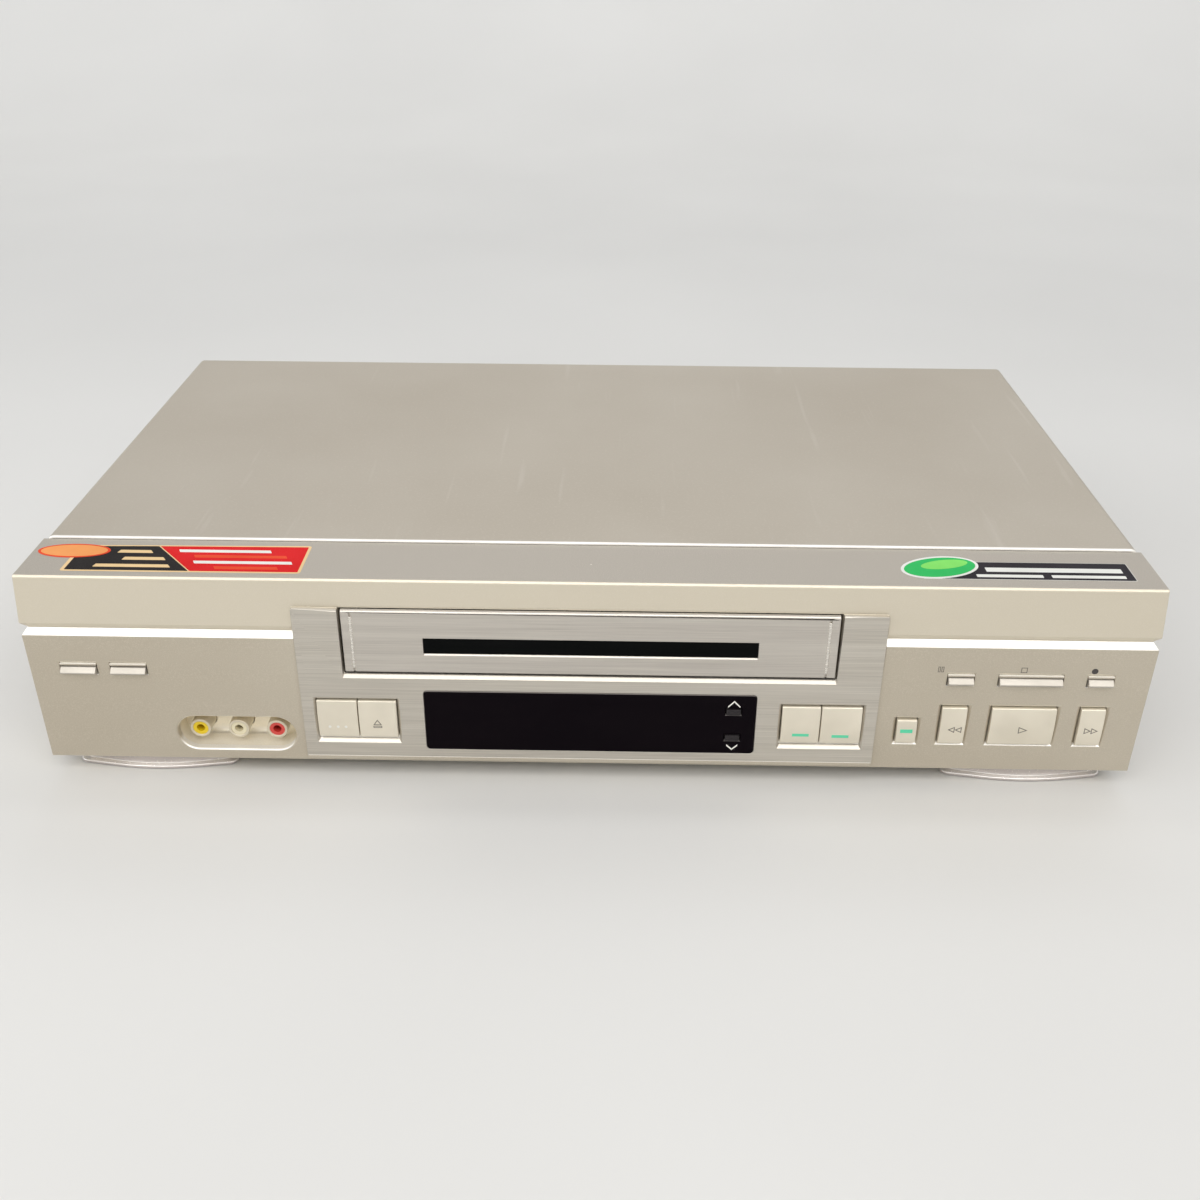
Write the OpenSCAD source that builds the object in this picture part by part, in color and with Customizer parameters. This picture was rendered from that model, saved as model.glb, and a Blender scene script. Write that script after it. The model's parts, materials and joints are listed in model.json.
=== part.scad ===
// Full-size front-loading video cassette recorder, in millimetres.
// The origin lies on the table under the middle of the overall box, X to the right, Y to the back.

/* [Housing] */
// Overall width of the front panel
body_w = 430; // [420:1:450]
// Height of the front panel's top above the table
panel_top = 90; // [88:1:98]
// Depth from the front edge to the back edge of the cover
body_d = 243; // [243:1:270]
// Height of the feet
foot_h = 9; // [7:0.5:9]
// Wall of the moulded front
panel_wall = 2.6; // [2:0.1:2.8]
// Depth of the moulded front's top lip
lip_d = 31; // [29:1:33]
// Thickness of the sheet steel
sheet_t = 1; // [0.8:0.1:1.2]
// How far the sheet cover stands back from the panel's ends
cover_inset = 1; // [0.5:0.5:2]
// Corner radius of the folded cover
cover_r = 3; // [2:0.5:5]
// Height of the step up from the front lip to the cover
cover_step = 1; // [0.6:0.1:1.4]

/* [Front groove] */
// Depth of the upper band below the top edge
band_h = 18.8; // [16:0.2:20]
// How far the band leans out at its foot
band_lean = 3.2; // [2:0.1:3.4]
// Height of the V groove
groove_h = 2.5; // [2:0.1:3]
// Depth of the V groove
groove_d = 2.1; // [1.5:0.1:2.2]
// Height of the bright chamfer under the groove
strip_h = 2.8; // [2:0.1:3.5]

/* [Centre bezel] */
// Width of the brushed bezel
bezel_w = 223.8; // [222:0.2:226]
// Top of the bezel below the top edge
bezel_top = 10.6; // [10.4:0.2:12]
// Foot of the bezel below the top edge
bezel_low = 78; // [76:0.5:78.5]
// Thickness of the bezel plate
bezel_t = 1.6; // [1.2:0.1:1.8]
// How far the bezel's face stands in front of the front edge
bezel_out = 4.1; // [3.9:0.1:4.3]
// Sideways offset of the cassette slot and the deck
deck_x = 0.75; // [-1:0.25:1]

/* [Cassette slot] */
// Width of the slot
slot_w = 189.5; // [189:0.5:191]
// Top of the slot below the top edge
slot_top = 10.5; // [10.5:0.1:11]
// Sill of the slot below the top edge
slot_low = 40.4; // [40:0.2:41]
// Width of the door
door_w = 187.5; // [186:0.5:188]
// Height of the door
door_h = 27; // [26:0.2:27.2]
// Thickness of the door
door_t = 3; // [2.4:0.1:3.2]
// Radius of the door's hinge pins
door_pin_r = 1.2; // [1:0.1:1.3]
// Width of the dark strip in the door
strip_w = 126.9; // [120:1:130]
// Width of the display window
window_w = 128.8; // [126:0.2:130]
// Height of the display window
window_h = 27.2; // [26:0.2:28]

/* [Keys] */
// Travel of a key
key_travel = 0.8; // [0.5:0.1:0.9]
// Gap between a key and its well
key_gap = 0.4; // [0.3:0.05:0.5]
// Width of the sloping rim round a key's well
well_flare = 0.9; // [0.6:0.1:1]
// Depth of the sloping sill under the paired keys
pair_sill = 2.8; // [2:0.1:3]
// Depth of the sloping sill under the keys of the panel
panel_sill = 1.2; // [0.8:0.1:1.4]
// How far a bar key stands out of the panel's deepest face
bar_out = 1.7; // [1.5:0.1:2]
// How far a block key stands out of its face
block_out = 0.7; // [0.4:0.1:0.8]
// Crown of a block key's face
key_crown = 0.5; // [0.3:0.1:0.6]

/* [Front sockets] */
// Width of the recess round the front sockets
recess_w = 46.9; // [46:0.2:48]
// Height of the recess
recess_h = 15.5; // [15:0.1:16]
// Depth of the recess behind the front edge
recess_d = 9; // [8:0.5:10]
// Pitch of the sockets
jack_pitch = 15.3; // [15:0.1:16]
// Outer radius of a socket's collar
jack_r = 4.15; // [4:0.05:4.2]
// Outer radius of a socket's coloured insert
insert_r = 3; // [2.8:0.1:3.2]
// Radius of a socket's centre hole
contact_r = 1.65; // [1.6:0.05:1.8]

/* [Feet] */
// Width of a front foot at its base rim
foot_w = 65; // [60:1:68]
// Depth of a front foot
foot_d = 24; // [22:1:27]
// Bow of a front foot's face
foot_bow = 5.5; // [4:0.5:7]
// Height of the base rim
foot_rim = 1.5; // [1:0.1:2]
// Distance of a foot's middle from the side of the body
foot_in = 39; // [36:1:44]

/* [Deck] */
// Height of the deck plate above the steel tray
deck_up = 14.3; // [14.3:0.1:15]
// Thickness of the deck plate
deck_t = 1.5; // [1.2:0.1:1.6]
// Length of the cassette carriage along the deck
holder_d = 44; // [40:1:45]
// Backward travel of the cassette carriage
load_travel = 60; // [56:1:60]
// Downward travel of the cassette carriage
drop_travel = 17; // [15:0.5:17]
// Distance between the two reel spindles
reel_pitch = 93; // [92:0.5:94]
// Radius of a reel table
reel_r = 20; // [18:0.5:20]
// Radius of the head drum
drum_r = 31; // [30:0.1:31.5]
// Tilt of the head drum
drum_tilt = 6; // [4:0.5:6]
// Travel of the two tape guides
guide_travel = 56; // [50:1:56]
// Radius of the flywheel
flywheel_r = 24; // [20:1:25]
// Radius of the capstan shaft
capstan_r = 1.5; // [1.25:0.05:1.75]
// Radius of the pinch roller
pinch_r = 6; // [5:0.25:6]
// Running clearance on a round shaft
run_fit = 0.05; // [0.03:0.01:0.08]

/* [Rear] */
// Length of an aerial socket behind the rear panel
aerial_len = 10; // [9.5:0.5:12]
// Radius of an aerial socket's thread
aerial_r = 4.75; // [4.7:0.05:4.8]
// Pitch of the rear sockets
rear_pitch = 16; // [15:0.5:17]
// Length of a rear socket's collar behind the rear panel
rear_jack_len = 8.5; // [8:0.5:9]

/* [Hidden] */
$fn = 48;
eps = 0.01;

// The front-most thing is a bar key and the rear-most an aerial socket
rear_in = 1;
front_reach = 3.3 + bar_out;
rear_reach = body_d - rear_in + aerial_len;
front_y = (front_reach - rear_reach) / 2;
rear_y = front_y + body_d - rear_in;

// Heights
cover_top = panel_top + cover_step;
groove_z = panel_top - band_h;
strip_z = groove_z - groove_h;
lower_z = strip_z - strip_h;
lower_lean = 3.3;
foot_lean = 1.8;
bezel_y = front_y - bezel_out;
seat_y = bezel_y + bezel_t;
seat_t = 3;
shelf_t = 1.5;
bezel_x = 0.5;
bezel_left = bezel_x - bezel_w / 2;
bezel_right = bezel_x + bezel_w / 2;
left_zone = bezel_left + body_w / 2;
right_zone = body_w / 2 - bezel_right;
bezel_z1 = panel_top - bezel_top;
bezel_z0 = panel_top - bezel_low;
slot_z1 = panel_top - slot_top;
slot_z0 = panel_top - slot_low;
door_z1 = slot_z1 - 0.7;
door_z0 = door_z1 - door_h;
door_y = bezel_y + 0.7;
hinge_y = front_y + 3.9;
hinge_z = panel_top - 8;
ear_r = 2;
window_x = 0.9;
window_z1 = panel_top - 46.2;
window_z0 = window_z1 - window_h;

// Tray, boards and deck
tray_t = 1.2;
tray_z = foot_h + tray_t;
tray_lip = 12;
board_z = tray_z + 5.8;
board_t = 1.6;
deck_z = tray_z + deck_up;
deck_top = deck_z + deck_t;
deck_y0 = front_y + 36;
deck_y1 = front_y + 226;
side_x = slot_w / 2 + 3;
side_t = 1.2;
side_foot = 2.25;
deck_w = 2 * (side_x + side_foot);
side_d = 106;
holder_z = slot_z0 - 0.6;
holder_h = 29;
holder_t = 1;
ledge_w = 28;
slide_x = slot_w / 2 + 1.4;
slide_t = 1.2;
pin_r = 2;
pin_z = holder_z + 15;
stop_y = front_y + 36 + holder_d + load_travel;
reel_y = stop_y - 56;
reel_x = reel_pitch / 2;
drum_x = deck_x - 6;
drum_y = stop_y + 43;
drum_z = deck_top + 5.5;
drum_low_h = 18;
drum_up_h = 18;
drum_gap = 0.4;
capstan_x = deck_x + 64;
capstan_y = stop_y + 4;
hub_y = reel_y + 24;
idler_len = 26;
idler_r = 13;
hub_r = idler_len - idler_r - 0.2;
belt_z = board_z + board_t + 1;
belt_h = 2;
capstan_pulley_r = 8;
center_pulley_r = 12;
pinch_x = capstan_x + 18;
pinch_y = capstan_y + 16;
pinch_len = 19.82;
pinch_rest = 169.75;
entry_x = deck_x - 32;
exit_x = deck_x + 32;
guide_y = stop_y - 10;
entry_turn = 20;
exit_turn = -10.3;
tension_x = deck_x - 62;
tension_y = stop_y + 10;
tension_len = 20;
tension_rest = -50;
gear_x = deck_x - 82;
gear_y = stop_y + 62;
gear_z = deck_top + 10;
gear_teeth = 42;
gear_r = 10.6;
worm_r = 3.2;
worm_x = gear_x + gear_r + worm_r + 0.2;
worm_len = 14;

// Colours as seen
champagne = [0.78, 0.74, 0.65];
silver = [0.72, 0.71, 0.69];
cover_paint = [0.74, 0.71, 0.66];
dark = [0.1, 0.09, 0.1];
steel = [0.62, 0.63, 0.64];
key_tint = [0.8, 0.77, 0.7];
plastic_dark = [0.16, 0.16, 0.17];
board_green = [0.16, 0.35, 0.22];

// Height of the front face at a given height, under the groove
function face_y(z) = front_y - lower_lean
    + (lower_lean - foot_lean) * (lower_z - z) / (lower_z - foot_h);

// Corner points of a rectangle with round corners
function round_rect(w, h, r, n = 5) = [
    for (c = [0:3])
        for (i = [0:n])
            let (a = c * 90 + i * 90 / n)
            let (cx = (c == 0 || c == 3) ? w / 2 - r : r - w / 2)
            let (cy = c < 2 ? h / 2 - r : r - h / 2)
            [cx + r * cos(a), cy + r * sin(a)]
];

// A box from its two corners
module span(a, b) {
    translate(a) cube(b - a);
}

// A round-cornered plate that faces the front, from y0 to y1, centred on x and z
module face_plate(x, z, w, h, r, y0, y1) {
    translate([x, y1, z]) rotate([90, 0, 0])
        linear_extrude(y1 - y0) polygon(round_rect(w, h, r));
}

// A stadium-shaped prism that faces the front
module stadium(x, z, w, h, y0, y1) {
    translate([x, y1, z]) rotate([90, 0, 0])
        linear_extrude(y1 - y0) polygon(round_rect(w, h, h / 2 - eps, 10));
}

// A cylinder along Y
module rod_y(x, z, r, y0, y1) {
    translate([x, y0, z]) rotate([-90, 0, 0]) cylinder(r = r, h = y1 - y0);
}

// A cylinder along Z
module rod_z(x, y, r, z0, z1) {
    translate([x, y, z0]) cylinder(r = r, h = z1 - z0);
}

// Folded steel cover with louvres in both sides
module cover_section(w, h, r) {
    translate([0, -h / 2]) polygon(concat(
        [for (i = [0:6]) [w / 2 - r + r * sin(i * 15), h / 2 - r + r * cos(i * 15)]],
        [[w / 2, -h / 2], [-w / 2, -h / 2]],
        [for (i = [0:6]) [r - w / 2 - r * cos(i * 15), h / 2 - r + r * sin(i * 15)]]
    ));
}

cover_w = body_w - 2 * cover_inset;
cover_y0 = front_y + lip_d + 0.2;
cover_y1 = front_y + body_d;
louvre_n = 9;

module top_cover() {
    color(cover_paint) difference() {
        translate([0, cover_y1, cover_top]) rotate([90, 0, 0])
            linear_extrude(cover_y1 - cover_y0)
                cover_section(cover_w, cover_top - foot_h - 0.5, cover_r);
        translate([0, cover_y1 + 1, cover_top - sheet_t]) rotate([90, 0, 0])
            linear_extrude(body_d)
                cover_section(cover_w - 2 * sheet_t, cover_top, cover_r - sheet_t);
        for (i = [0:louvre_n - 1])
            span([-body_w / 2, rear_y - 30 - i * 8, foot_h + 22],
                 [body_w / 2, rear_y - 27 - i * 8, foot_h + 46]);
        for (s = [-1, 1])
            for (y = screw_y)
                translate([s * (cover_w / 2 + 1), y, screw_z]) rotate([0, -90 * s, 0])
                    cylinder(r = 1.8, h = sheet_t + 2);
    }
}

screw_z = foot_h + 8;
screw_y = [cover_y0 + 22, rear_y - 20];

module cover_screws() {
    color(steel) for (s = [-1, 1])
        for (y = screw_y)
            translate([s * cover_w / 2, y, screw_z]) rotate([0, 90 * s, 0]) difference() {
                union() {
                    cylinder(r1 = 3.4, r2 = 2.8, h = cover_inset - 0.1);
                    translate([0, 0, -3.6]) cylinder(r = 1.5, h = 4);
                }
                for (a = [0, 90])
                    rotate([0, 0, a]) translate([-2, -0.3, cover_inset - 0.5])
                        cube([4, 0.6, 1]);
            }
}

// Section of the moulded front, moved back by d
module front_section(d, top, low) {
    polygon([
        [d + 0.6, top], [lip_d + d, top], [lip_d + d, low],
        [d - foot_lean, low], [d - lower_lean, lower_z], [d - lower_lean + groove_d, strip_z],
        [d - band_lean, groove_z], [d - 0.1, top - 0.8]
    ]);
}

module along_x(w) {
    rotate([90, 0, 90]) translate([0, 0, -w / 2]) linear_extrude(w) children();
}

// Heights of the key rows, below the top edge
pair_top = 49.9;
pair_foot = 71;
key_top = 50.2;
key_foot = 69.6;
back_top = 56.3;
bar_top = 36.3;
bar_foot = 41.2;
timer_bar_top = 36.7;
timer_bar_foot = 41.3;

// Left end, right end, top and foot of a well or slot, spaced by a share of the zone beside the
// bezel. A well has the depth of its sill as well.
function right_place(share, w, top, foot) =
    let (x = bezel_right + share * right_zone)
    [x - w / 2, x + w / 2, top, foot];
function left_place(share, w, top, foot) =
    let (x = share * left_zone - body_w / 2)
    [x - w / 2, x + w / 2, top, foot];
pair_w = 33.6;
pair_in = 4.6;
pair_x0 = bezel_left + pair_in;
pair_x1 = bezel_right - pair_in;
pair_left = [pair_x0, pair_x0 + pair_w, pair_top, pair_foot, pair_sill];
pair_right = [pair_x1 - pair_w, pair_x1, pair_top, pair_foot, pair_sill];
well_back = concat(right_place(0.1199, 10.4, back_top, key_foot), panel_sill);
well_rewind = concat(right_place(0.2924, 12.4, key_top, key_foot), panel_sill);
well_play = concat(right_place(0.555, 27.6, key_top, key_foot), panel_sill);
well_forward = concat(right_place(0.8143, 12.1, key_top, key_foot), panel_sill);
bar_pause = right_place(0.2942, 10.5, bar_top, bar_foot);
bar_stop = right_place(0.5544, 24.9, bar_top, bar_foot);
bar_record = right_place(0.8134, 10.3, bar_top, bar_foot);
bar_quick = left_place(0.1824, 14.4, timer_bar_top, timer_bar_foot);
bar_timer = left_place(0.3687, 14.3, timer_bar_top, timer_bar_foot);
channel_x = window_x + window_w / 2 - 8.7;
channel_up_d = 53.7;
channel_down_d = 65.8;
channel_w = 5.6;
channel_h = 2.5;
jack_x = bezel_left - 4.25 - recess_w / 2;
jack_z = panel_top - 68.7;
jack_front = front_y + 1;

// A well w in a face at y: its rim slopes inwards, its sill slopes down to the front
module well_cut(w, y, y1) {
    z0 = panel_top - w[3];
    z1 = panel_top - w[2];
    x0 = w[0] + well_flare;
    x1 = w[1] - well_flare;
    sill = w[4];
    out = 1.5;
    intersection() {
        translate([0, 0, z0 - 2]) linear_extrude(z1 - z0 + 4) polygon([
            [w[0] - out, y - out], [w[1] + out, y - out], [x1, y + well_flare], [x1, y1],
            [x0, y1], [x0, y + well_flare]
        ]);
        translate([w[0] - 2, 0, 0]) rotate([90, 0, 90]) linear_extrude(w[1] - w[0] + 4) polygon([
            [y - out, z0 - out], [y + sill, z0 + sill], [y1, z0 + sill],
            [y1, z1 - well_flare], [y + well_flare, z1 - well_flare], [y - out, z1 + out]
        ]);
    }
}

// A slot of a bar key with a chamfer along its top
module bar_cut(w, y0, y1) {
    z0 = panel_top - w[3];
    z1 = panel_top - w[2];
    span([w[0], y0, z0], [w[1], y1, z1]);
    translate([w[0], face_y(z1) - 0.3, z1]) rotate([90, 0, 90]) linear_extrude(w[1] - w[0])
        polygon([[0, 1.2], [0, -1], [1.6, -1], [1.6, 0]]);
}

module front_panel() {
    y0 = front_y - 8;
    y1 = front_y + 8;
    color(champagne) difference() {
        union() {
            difference() {
                translate([0, front_y, 0]) along_x(body_w)
                    front_section(0, panel_top, foot_h);
                translate([0, front_y, 0]) along_x(body_w - 2 * panel_wall)
                    front_section(panel_wall, panel_top - panel_wall, foot_h + panel_wall);
                // The foot of the moulding is only as deep as the tray's edge
                span([panel_wall - body_w / 2, front_y + tray_lip, foot_h - 1],
                     [body_w / 2 - panel_wall, front_y + lip_d + 1, foot_h + panel_wall + 1]);
            }
            // Flat seat behind the bezel
            span([bezel_left, seat_y, bezel_z0 - 0.5],
                 [bezel_right, seat_y + seat_t, slot_z1 - 0.5]);
            // Shelf behind the flap, up to the carriage
            span([deck_x - slot_w / 2 - 1, seat_y + seat_t - eps, slot_z0 - shelf_t],
                 [deck_x + slot_w / 2 + 1, deck_y0 - 0.4, slot_z0 + eps]);
            // Tongue under the cover's front edge
            span([-body_w / 2 + 8, front_y + lip_d - 3, panel_top - panel_wall],
                 [body_w / 2 - 8, front_y + lip_d + 6, panel_top - 0.3]);
            // Cheeks beside the slot that carry the door's pins
            for (s = [-1, 1])
                translate([deck_x + s * (slot_w / 2 + 1), 0, 0])
                    span([-1, front_y + 0.2, slot_z0 - 4], [1, front_y + 12, panel_top - 1]);
            // Wall of the socket recess
            stadium(jack_x, jack_z, recess_w + 3.2, recess_h + 3.2, front_y - 1,
                    front_y + recess_d + 1.6);
            // Ribs that stiffen the lip
            for (s = [-1, 1])
                for (d = [25, 65, 95])
                    translate([s * (body_w / 2 - d), 0, 0])
                        span([-0.7, front_y + 2, panel_top - 12], [0.7, front_y + 28, panel_top - 1]);
        }
        // V groove round both ends
        for (s = [-1, 1])
            translate([s * body_w / 2, front_y - 10, 0]) rotate([90, 0, 0])
                translate([0, 0, -lip_d - 20]) linear_extrude(lip_d + 20) polygon([
                    [s * eps, groove_z], [-s * groove_d, strip_z], [s * eps, lower_z]
                ]);
        // Room for the bezel plate
        span([bezel_left - 0.15, y0, bezel_z0 - 0.15],
             [bezel_right + 0.15, seat_y, bezel_z1 + 0.15]);
        // Cassette slot, with the sill sloping inwards
        span([deck_x - slot_w / 2, y0, slot_z0], [deck_x + slot_w / 2, y1 + 6, slot_z1]);
        // Holes of the door's pins
        translate([deck_x, hinge_y, hinge_z]) rotate([0, 90, 0])
            cylinder(r = door_pin_r + run_fit, h = slot_w + 8, center = true);
        // Opening behind the display window
        span([window_x - window_w / 2 + 2, y0, window_z0 + 2],
             [window_x + window_w / 2 - 2, y1, window_z1 - 2]);
        // Wells and slots of the keys
        for (w = [pair_left, pair_right])
            well_cut(w, bezel_y, y1);
        for (w = [well_back, well_rewind, well_play, well_forward])
            well_cut(w, face_y(panel_top - (w[2] + w[3]) / 2), y1);
        for (w = [bar_pause, bar_stop, bar_record, bar_quick, bar_timer])
            bar_cut(w, y0, y1);
        // Flared socket recess with three holes in its back wall
        stadium(jack_x, jack_z, recess_w, recess_h, y0, front_y + recess_d);
        for (i = [-1:1])
            rod_y(jack_x + i * jack_pitch, jack_z, jack_r + 0.3, front_y, y1 + recess_d);
    }
}

module center_bezel() {
    color(silver) difference() {
        face_plate(bezel_x, (bezel_z0 + bezel_z1) / 2, bezel_w, bezel_z1 - bezel_z0, 0.6,
                   bezel_y, seat_y);
        span([deck_x - slot_w / 2, bezel_y - 1, slot_z0 + 1],
             [deck_x + slot_w / 2, seat_y + 1, panel_top]);
        // Sloping sill of the slot
        translate([deck_x - slot_w / 2, bezel_y, slot_z0 + 1]) rotate([90, 0, 90])
            linear_extrude(slot_w) polygon([[-eps, -1.4], [-eps, 1], [1.4, 1], [1.4, 0]]);
        face_plate(window_x, (window_z0 + window_z1) / 2, window_w + 0.2, window_h + 0.2, 1.6,
                   bezel_y - 1, seat_y + 1);
        for (w = [pair_left, pair_right])
            well_cut(w, bezel_y, seat_y + 1);
    }
}

// The flap, with arms that reach up behind the band to the hinge pins
module cassette_door() {
    x0 = deck_x - door_w / 2;
    x1 = deck_x + door_w / 2;
    color(silver) difference() {
        union() {
            translate([x0, 0, 0]) rotate([90, 0, 90]) linear_extrude(door_w) polygon(concat(
                [[door_y, door_z0], [door_y + door_t, door_z0], [door_y + door_t, door_z1 - 1]],
                [for (i = [0:5]) [door_y + 1.6 - 1.6 * sin(i * 18),
                                  door_z1 - 1.6 + 1.6 * cos(i * 18)]]
            ));
            for (s = [-1, 1])
                translate([deck_x + s * (door_w / 2 - 1.5), 0, 0])
                    rotate([90, 0, 90]) translate([0, 0, -1.5]) linear_extrude(3) polygon([
                        [door_y + 1, door_z1 - 9], [door_y + door_t, door_z1 - 9],
                        [hinge_y + 1.4, door_z1 - 3], [hinge_y + 1.6, hinge_z],
                        [hinge_y, hinge_z + 1.5], [hinge_y - 1.6, hinge_z],
                        [hinge_y - 1.6, door_z1 - 1], [door_y + door_t - 0.4, door_z1 - 2.4]
                    ]);
            for (s = [-1, 1])
                translate([deck_x + s * (door_w / 2 - 1.5), hinge_y, hinge_z])
                    rotate([0, 90, 0]) cylinder(r = ear_r, h = 3, center = true);
            translate([deck_x, hinge_y, hinge_z]) rotate([0, 90, 0]) for (s = [-1, 1])
                translate([0, 0, s * (door_w / 2 + 0.9)])
                    cylinder(r = door_pin_r, h = 3.4, center = true);
        }
        // Fine upright groove near each end
        for (s = [-1, 1])
            translate([deck_x + s * (door_w / 2 - 3.6), 0, 0])
                span([-0.3, door_y - 1, door_z0 - 1], [0.3, door_y + 0.5, door_z1 - 1.2]);
        // Seat of the dark strip, chamfered at its left and its foot
        span([door_strip_x0 - 0.1, door_y - 1, door_strip_z0 - 0.1],
             [door_strip_x1 + 0.1, door_y + 0.9, door_strip_z1 + 0.1]);
        translate([door_strip_x0, door_y, door_strip_z0]) rotate([90, 0, 90])
            linear_extrude(strip_w) polygon([[-eps, -0.9], [-eps, 0.5], [0.9, 0.5], [0.9, 0]]);
    }
}

door_strip_x0 = 1.05 - strip_w / 2;
door_strip_x1 = door_strip_x0 + strip_w;
door_strip_z1 = panel_top - 23.2;
door_strip_z0 = panel_top - 29.7;

module door_strip() {
    color(dark) span([door_strip_x0, door_y + 0.3, door_strip_z0],
                     [door_strip_x1, door_y + 0.9, door_strip_z1]);
}

module display_window() {
    color(dark) difference() {
        face_plate(window_x, (window_z0 + window_z1) / 2, window_w, window_h, 1.5,
                   bezel_y - 0.3, seat_y - 0.05);
        for (d = [channel_up_d, channel_down_d])
            span([channel_x - channel_w / 2 - key_gap, bezel_y - 2,
                  panel_top - d - channel_h / 2 - key_gap],
                 [channel_x + channel_w / 2 + key_gap, seat_y + 2,
                  panel_top - d + channel_h / 2 + key_gap]);
    }
}

stem_y = front_y + 4.2;
board_y = front_y + 11;

// A key's stem, which ends just in front of its switch
module key_stem(x, z, y) {
    span([x - 1.5, y, z - 1.2], [x + 1.5, stem_y, z + 1.2]);
}

// Block key in a well w: crowned face, a body and a stop flange behind the wall
function key_z0(w) = panel_top - w[3] + w[4] + key_gap;
function key_z1(w) = panel_top - w[2] - key_rim;
module block_key(x0, x1, w, front) {
    z0 = key_z0(w);
    z1 = key_z1(w);
    h = z1 - z0;
    crown_r = (h * h / 4 + key_crown * key_crown) / (2 * key_crown);
    intersection() {
        span([x0, front, z0], [x1, front_y + 1.8, z1]);
        translate([x0 - 1, front + crown_r, (z0 + z1) / 2 - 1]) rotate([0, 90, 0])
            cylinder(r = crown_r, h = x1 - x0 + 2, $fn = 96);
    }
    span([x0 + 0.6, front_y + 1.2, z0 - 2.4], [x1 - 0.6, front_y + 2.2, z1 - 1]);
    key_stem((x0 + x1) / 2, (z0 + z1) / 2, front_y + 1);
}

// Bar key: a wedge in its slot, whose upper face slopes down to the nose
module bar_key(w) {
    x0 = w[0] + key_gap;
    x1 = w[1] - key_gap;
    z0 = panel_top - w[3] + key_gap;
    z1 = panel_top - w[2] - 1.2;
    nose = front_y - front_reach;
    back = front_y + 2.2;
    translate([x0, 0, 0]) rotate([90, 0, 90]) linear_extrude(x1 - x0) polygon([
        [back, z0], [nose + 1.3, z0], [nose, z1 - 2.2], [nose, z1 - 1.8], [nose + 1.8, z1],
        [back, z1]
    ]);
    key_stem((x0 + x1) / 2, bar_mid(w)[1], front_y + 2);
}

bezel_key_y = bezel_y - block_out;
panel_key_y = front_y - lower_lean + 0.6 - block_out;
split_left = pair_left[0] + 17.2;
split_right = pair_right[0] + 16.4;
key_rim = well_flare + key_gap;

module power_key() {
    color(key_tint) block_key(pair_left[0] + key_rim, split_left - 0.2, pair_left, bezel_key_y);
}

module eject_key() {
    color(key_tint) block_key(split_left + 0.2, pair_left[1] - key_rim, pair_left, bezel_key_y);
}

module timer_start_key() {
    color(key_tint) block_key(pair_right[0] + key_rim, split_right - 0.2, pair_right, bezel_key_y);
}

module timer_end_key() {
    color(key_tint) block_key(split_right + 0.2, pair_right[1] - key_rim, pair_right, bezel_key_y);
}

module panel_key(w) {
    color(key_tint) block_key(w[0] + key_rim, w[1] - key_rim, w, panel_key_y);
}

module timer_back_key() {
    panel_key(well_back);
}

module rewind_key() {
    panel_key(well_rewind);
}

module play_key() {
    panel_key(well_play);
}

module fast_forward_key() {
    panel_key(well_forward);
}

module pause_key() {
    color(key_tint) bar_key(bar_pause);
}

module stop_key() {
    color(key_tint) bar_key(bar_stop);
}

module record_key() {
    color(key_tint) bar_key(bar_record);
}

module quick_timer_key() {
    color(key_tint) bar_key(bar_quick);
}

module timer_switch_key() {
    color(key_tint) bar_key(bar_timer);
}

// Small key in the display window
module channel_key(d) {
    z = panel_top - d;
    color(plastic_dark) {
        span([channel_x - channel_w / 2, bezel_y - 0.8, z - channel_h / 2],
             [channel_x + channel_w / 2, front_y, z + channel_h / 2]);
        span([channel_x - channel_w / 2 - 1, seat_y + 0.25, z - channel_h / 2 - 1],
             [channel_x + channel_w / 2 + 1, front_y, z + channel_h / 2 + 1]);
        key_stem(channel_x, z, front_y - 1);
    }
}

module channel_up_key() {
    channel_key(channel_up_d);
}

module channel_down_key() {
    channel_key(channel_down_d);
}

// Plan of a foot: a bowed front and rounded ends
module foot_plan(w, d) {
    bow_r = (w * w / 4 + foot_bow * foot_bow) / (2 * foot_bow);
    end_r = 4;
    hull() {
        intersection() {
            translate([-w / 2 + end_r, 0]) square([w - 2 * end_r, d]);
            translate([0, bow_r]) circle(r = bow_r, $fn = 240);
        }
        for (s = [-1, 1])
            translate([s * (w / 2 - end_r), foot_bow + 2]) circle(r = end_r, $fn = 24);
        for (s = [-1, 1])
            translate([s * (w / 2 - end_r), d - end_r]) circle(r = end_r, $fn = 24);
    }
}

module front_foot(side) {
    color(silver) translate([side * (body_w / 2 - foot_in), front_y + 2.2, 0]) {
        linear_extrude(foot_rim) foot_plan(foot_w, foot_d);
        translate([0, 2, foot_rim - eps])
            linear_extrude(foot_h - foot_rim + eps) foot_plan(foot_w - 5, foot_d - 3);
    }
}

module front_foot_left() {
    front_foot(-1);
}

module front_foot_right() {
    front_foot(1);
}

module rear_feet() {
    color(plastic_dark) for (s = [-1, 1])
        translate([s * (body_w / 2 - foot_in), rear_y - 34, 0]) {
            cylinder(r1 = 11, r2 = 12, h = foot_h);
        }
}

tray_w = body_w - 2 * (cover_inset + sheet_t) - 1;
post_in = 8;

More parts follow.
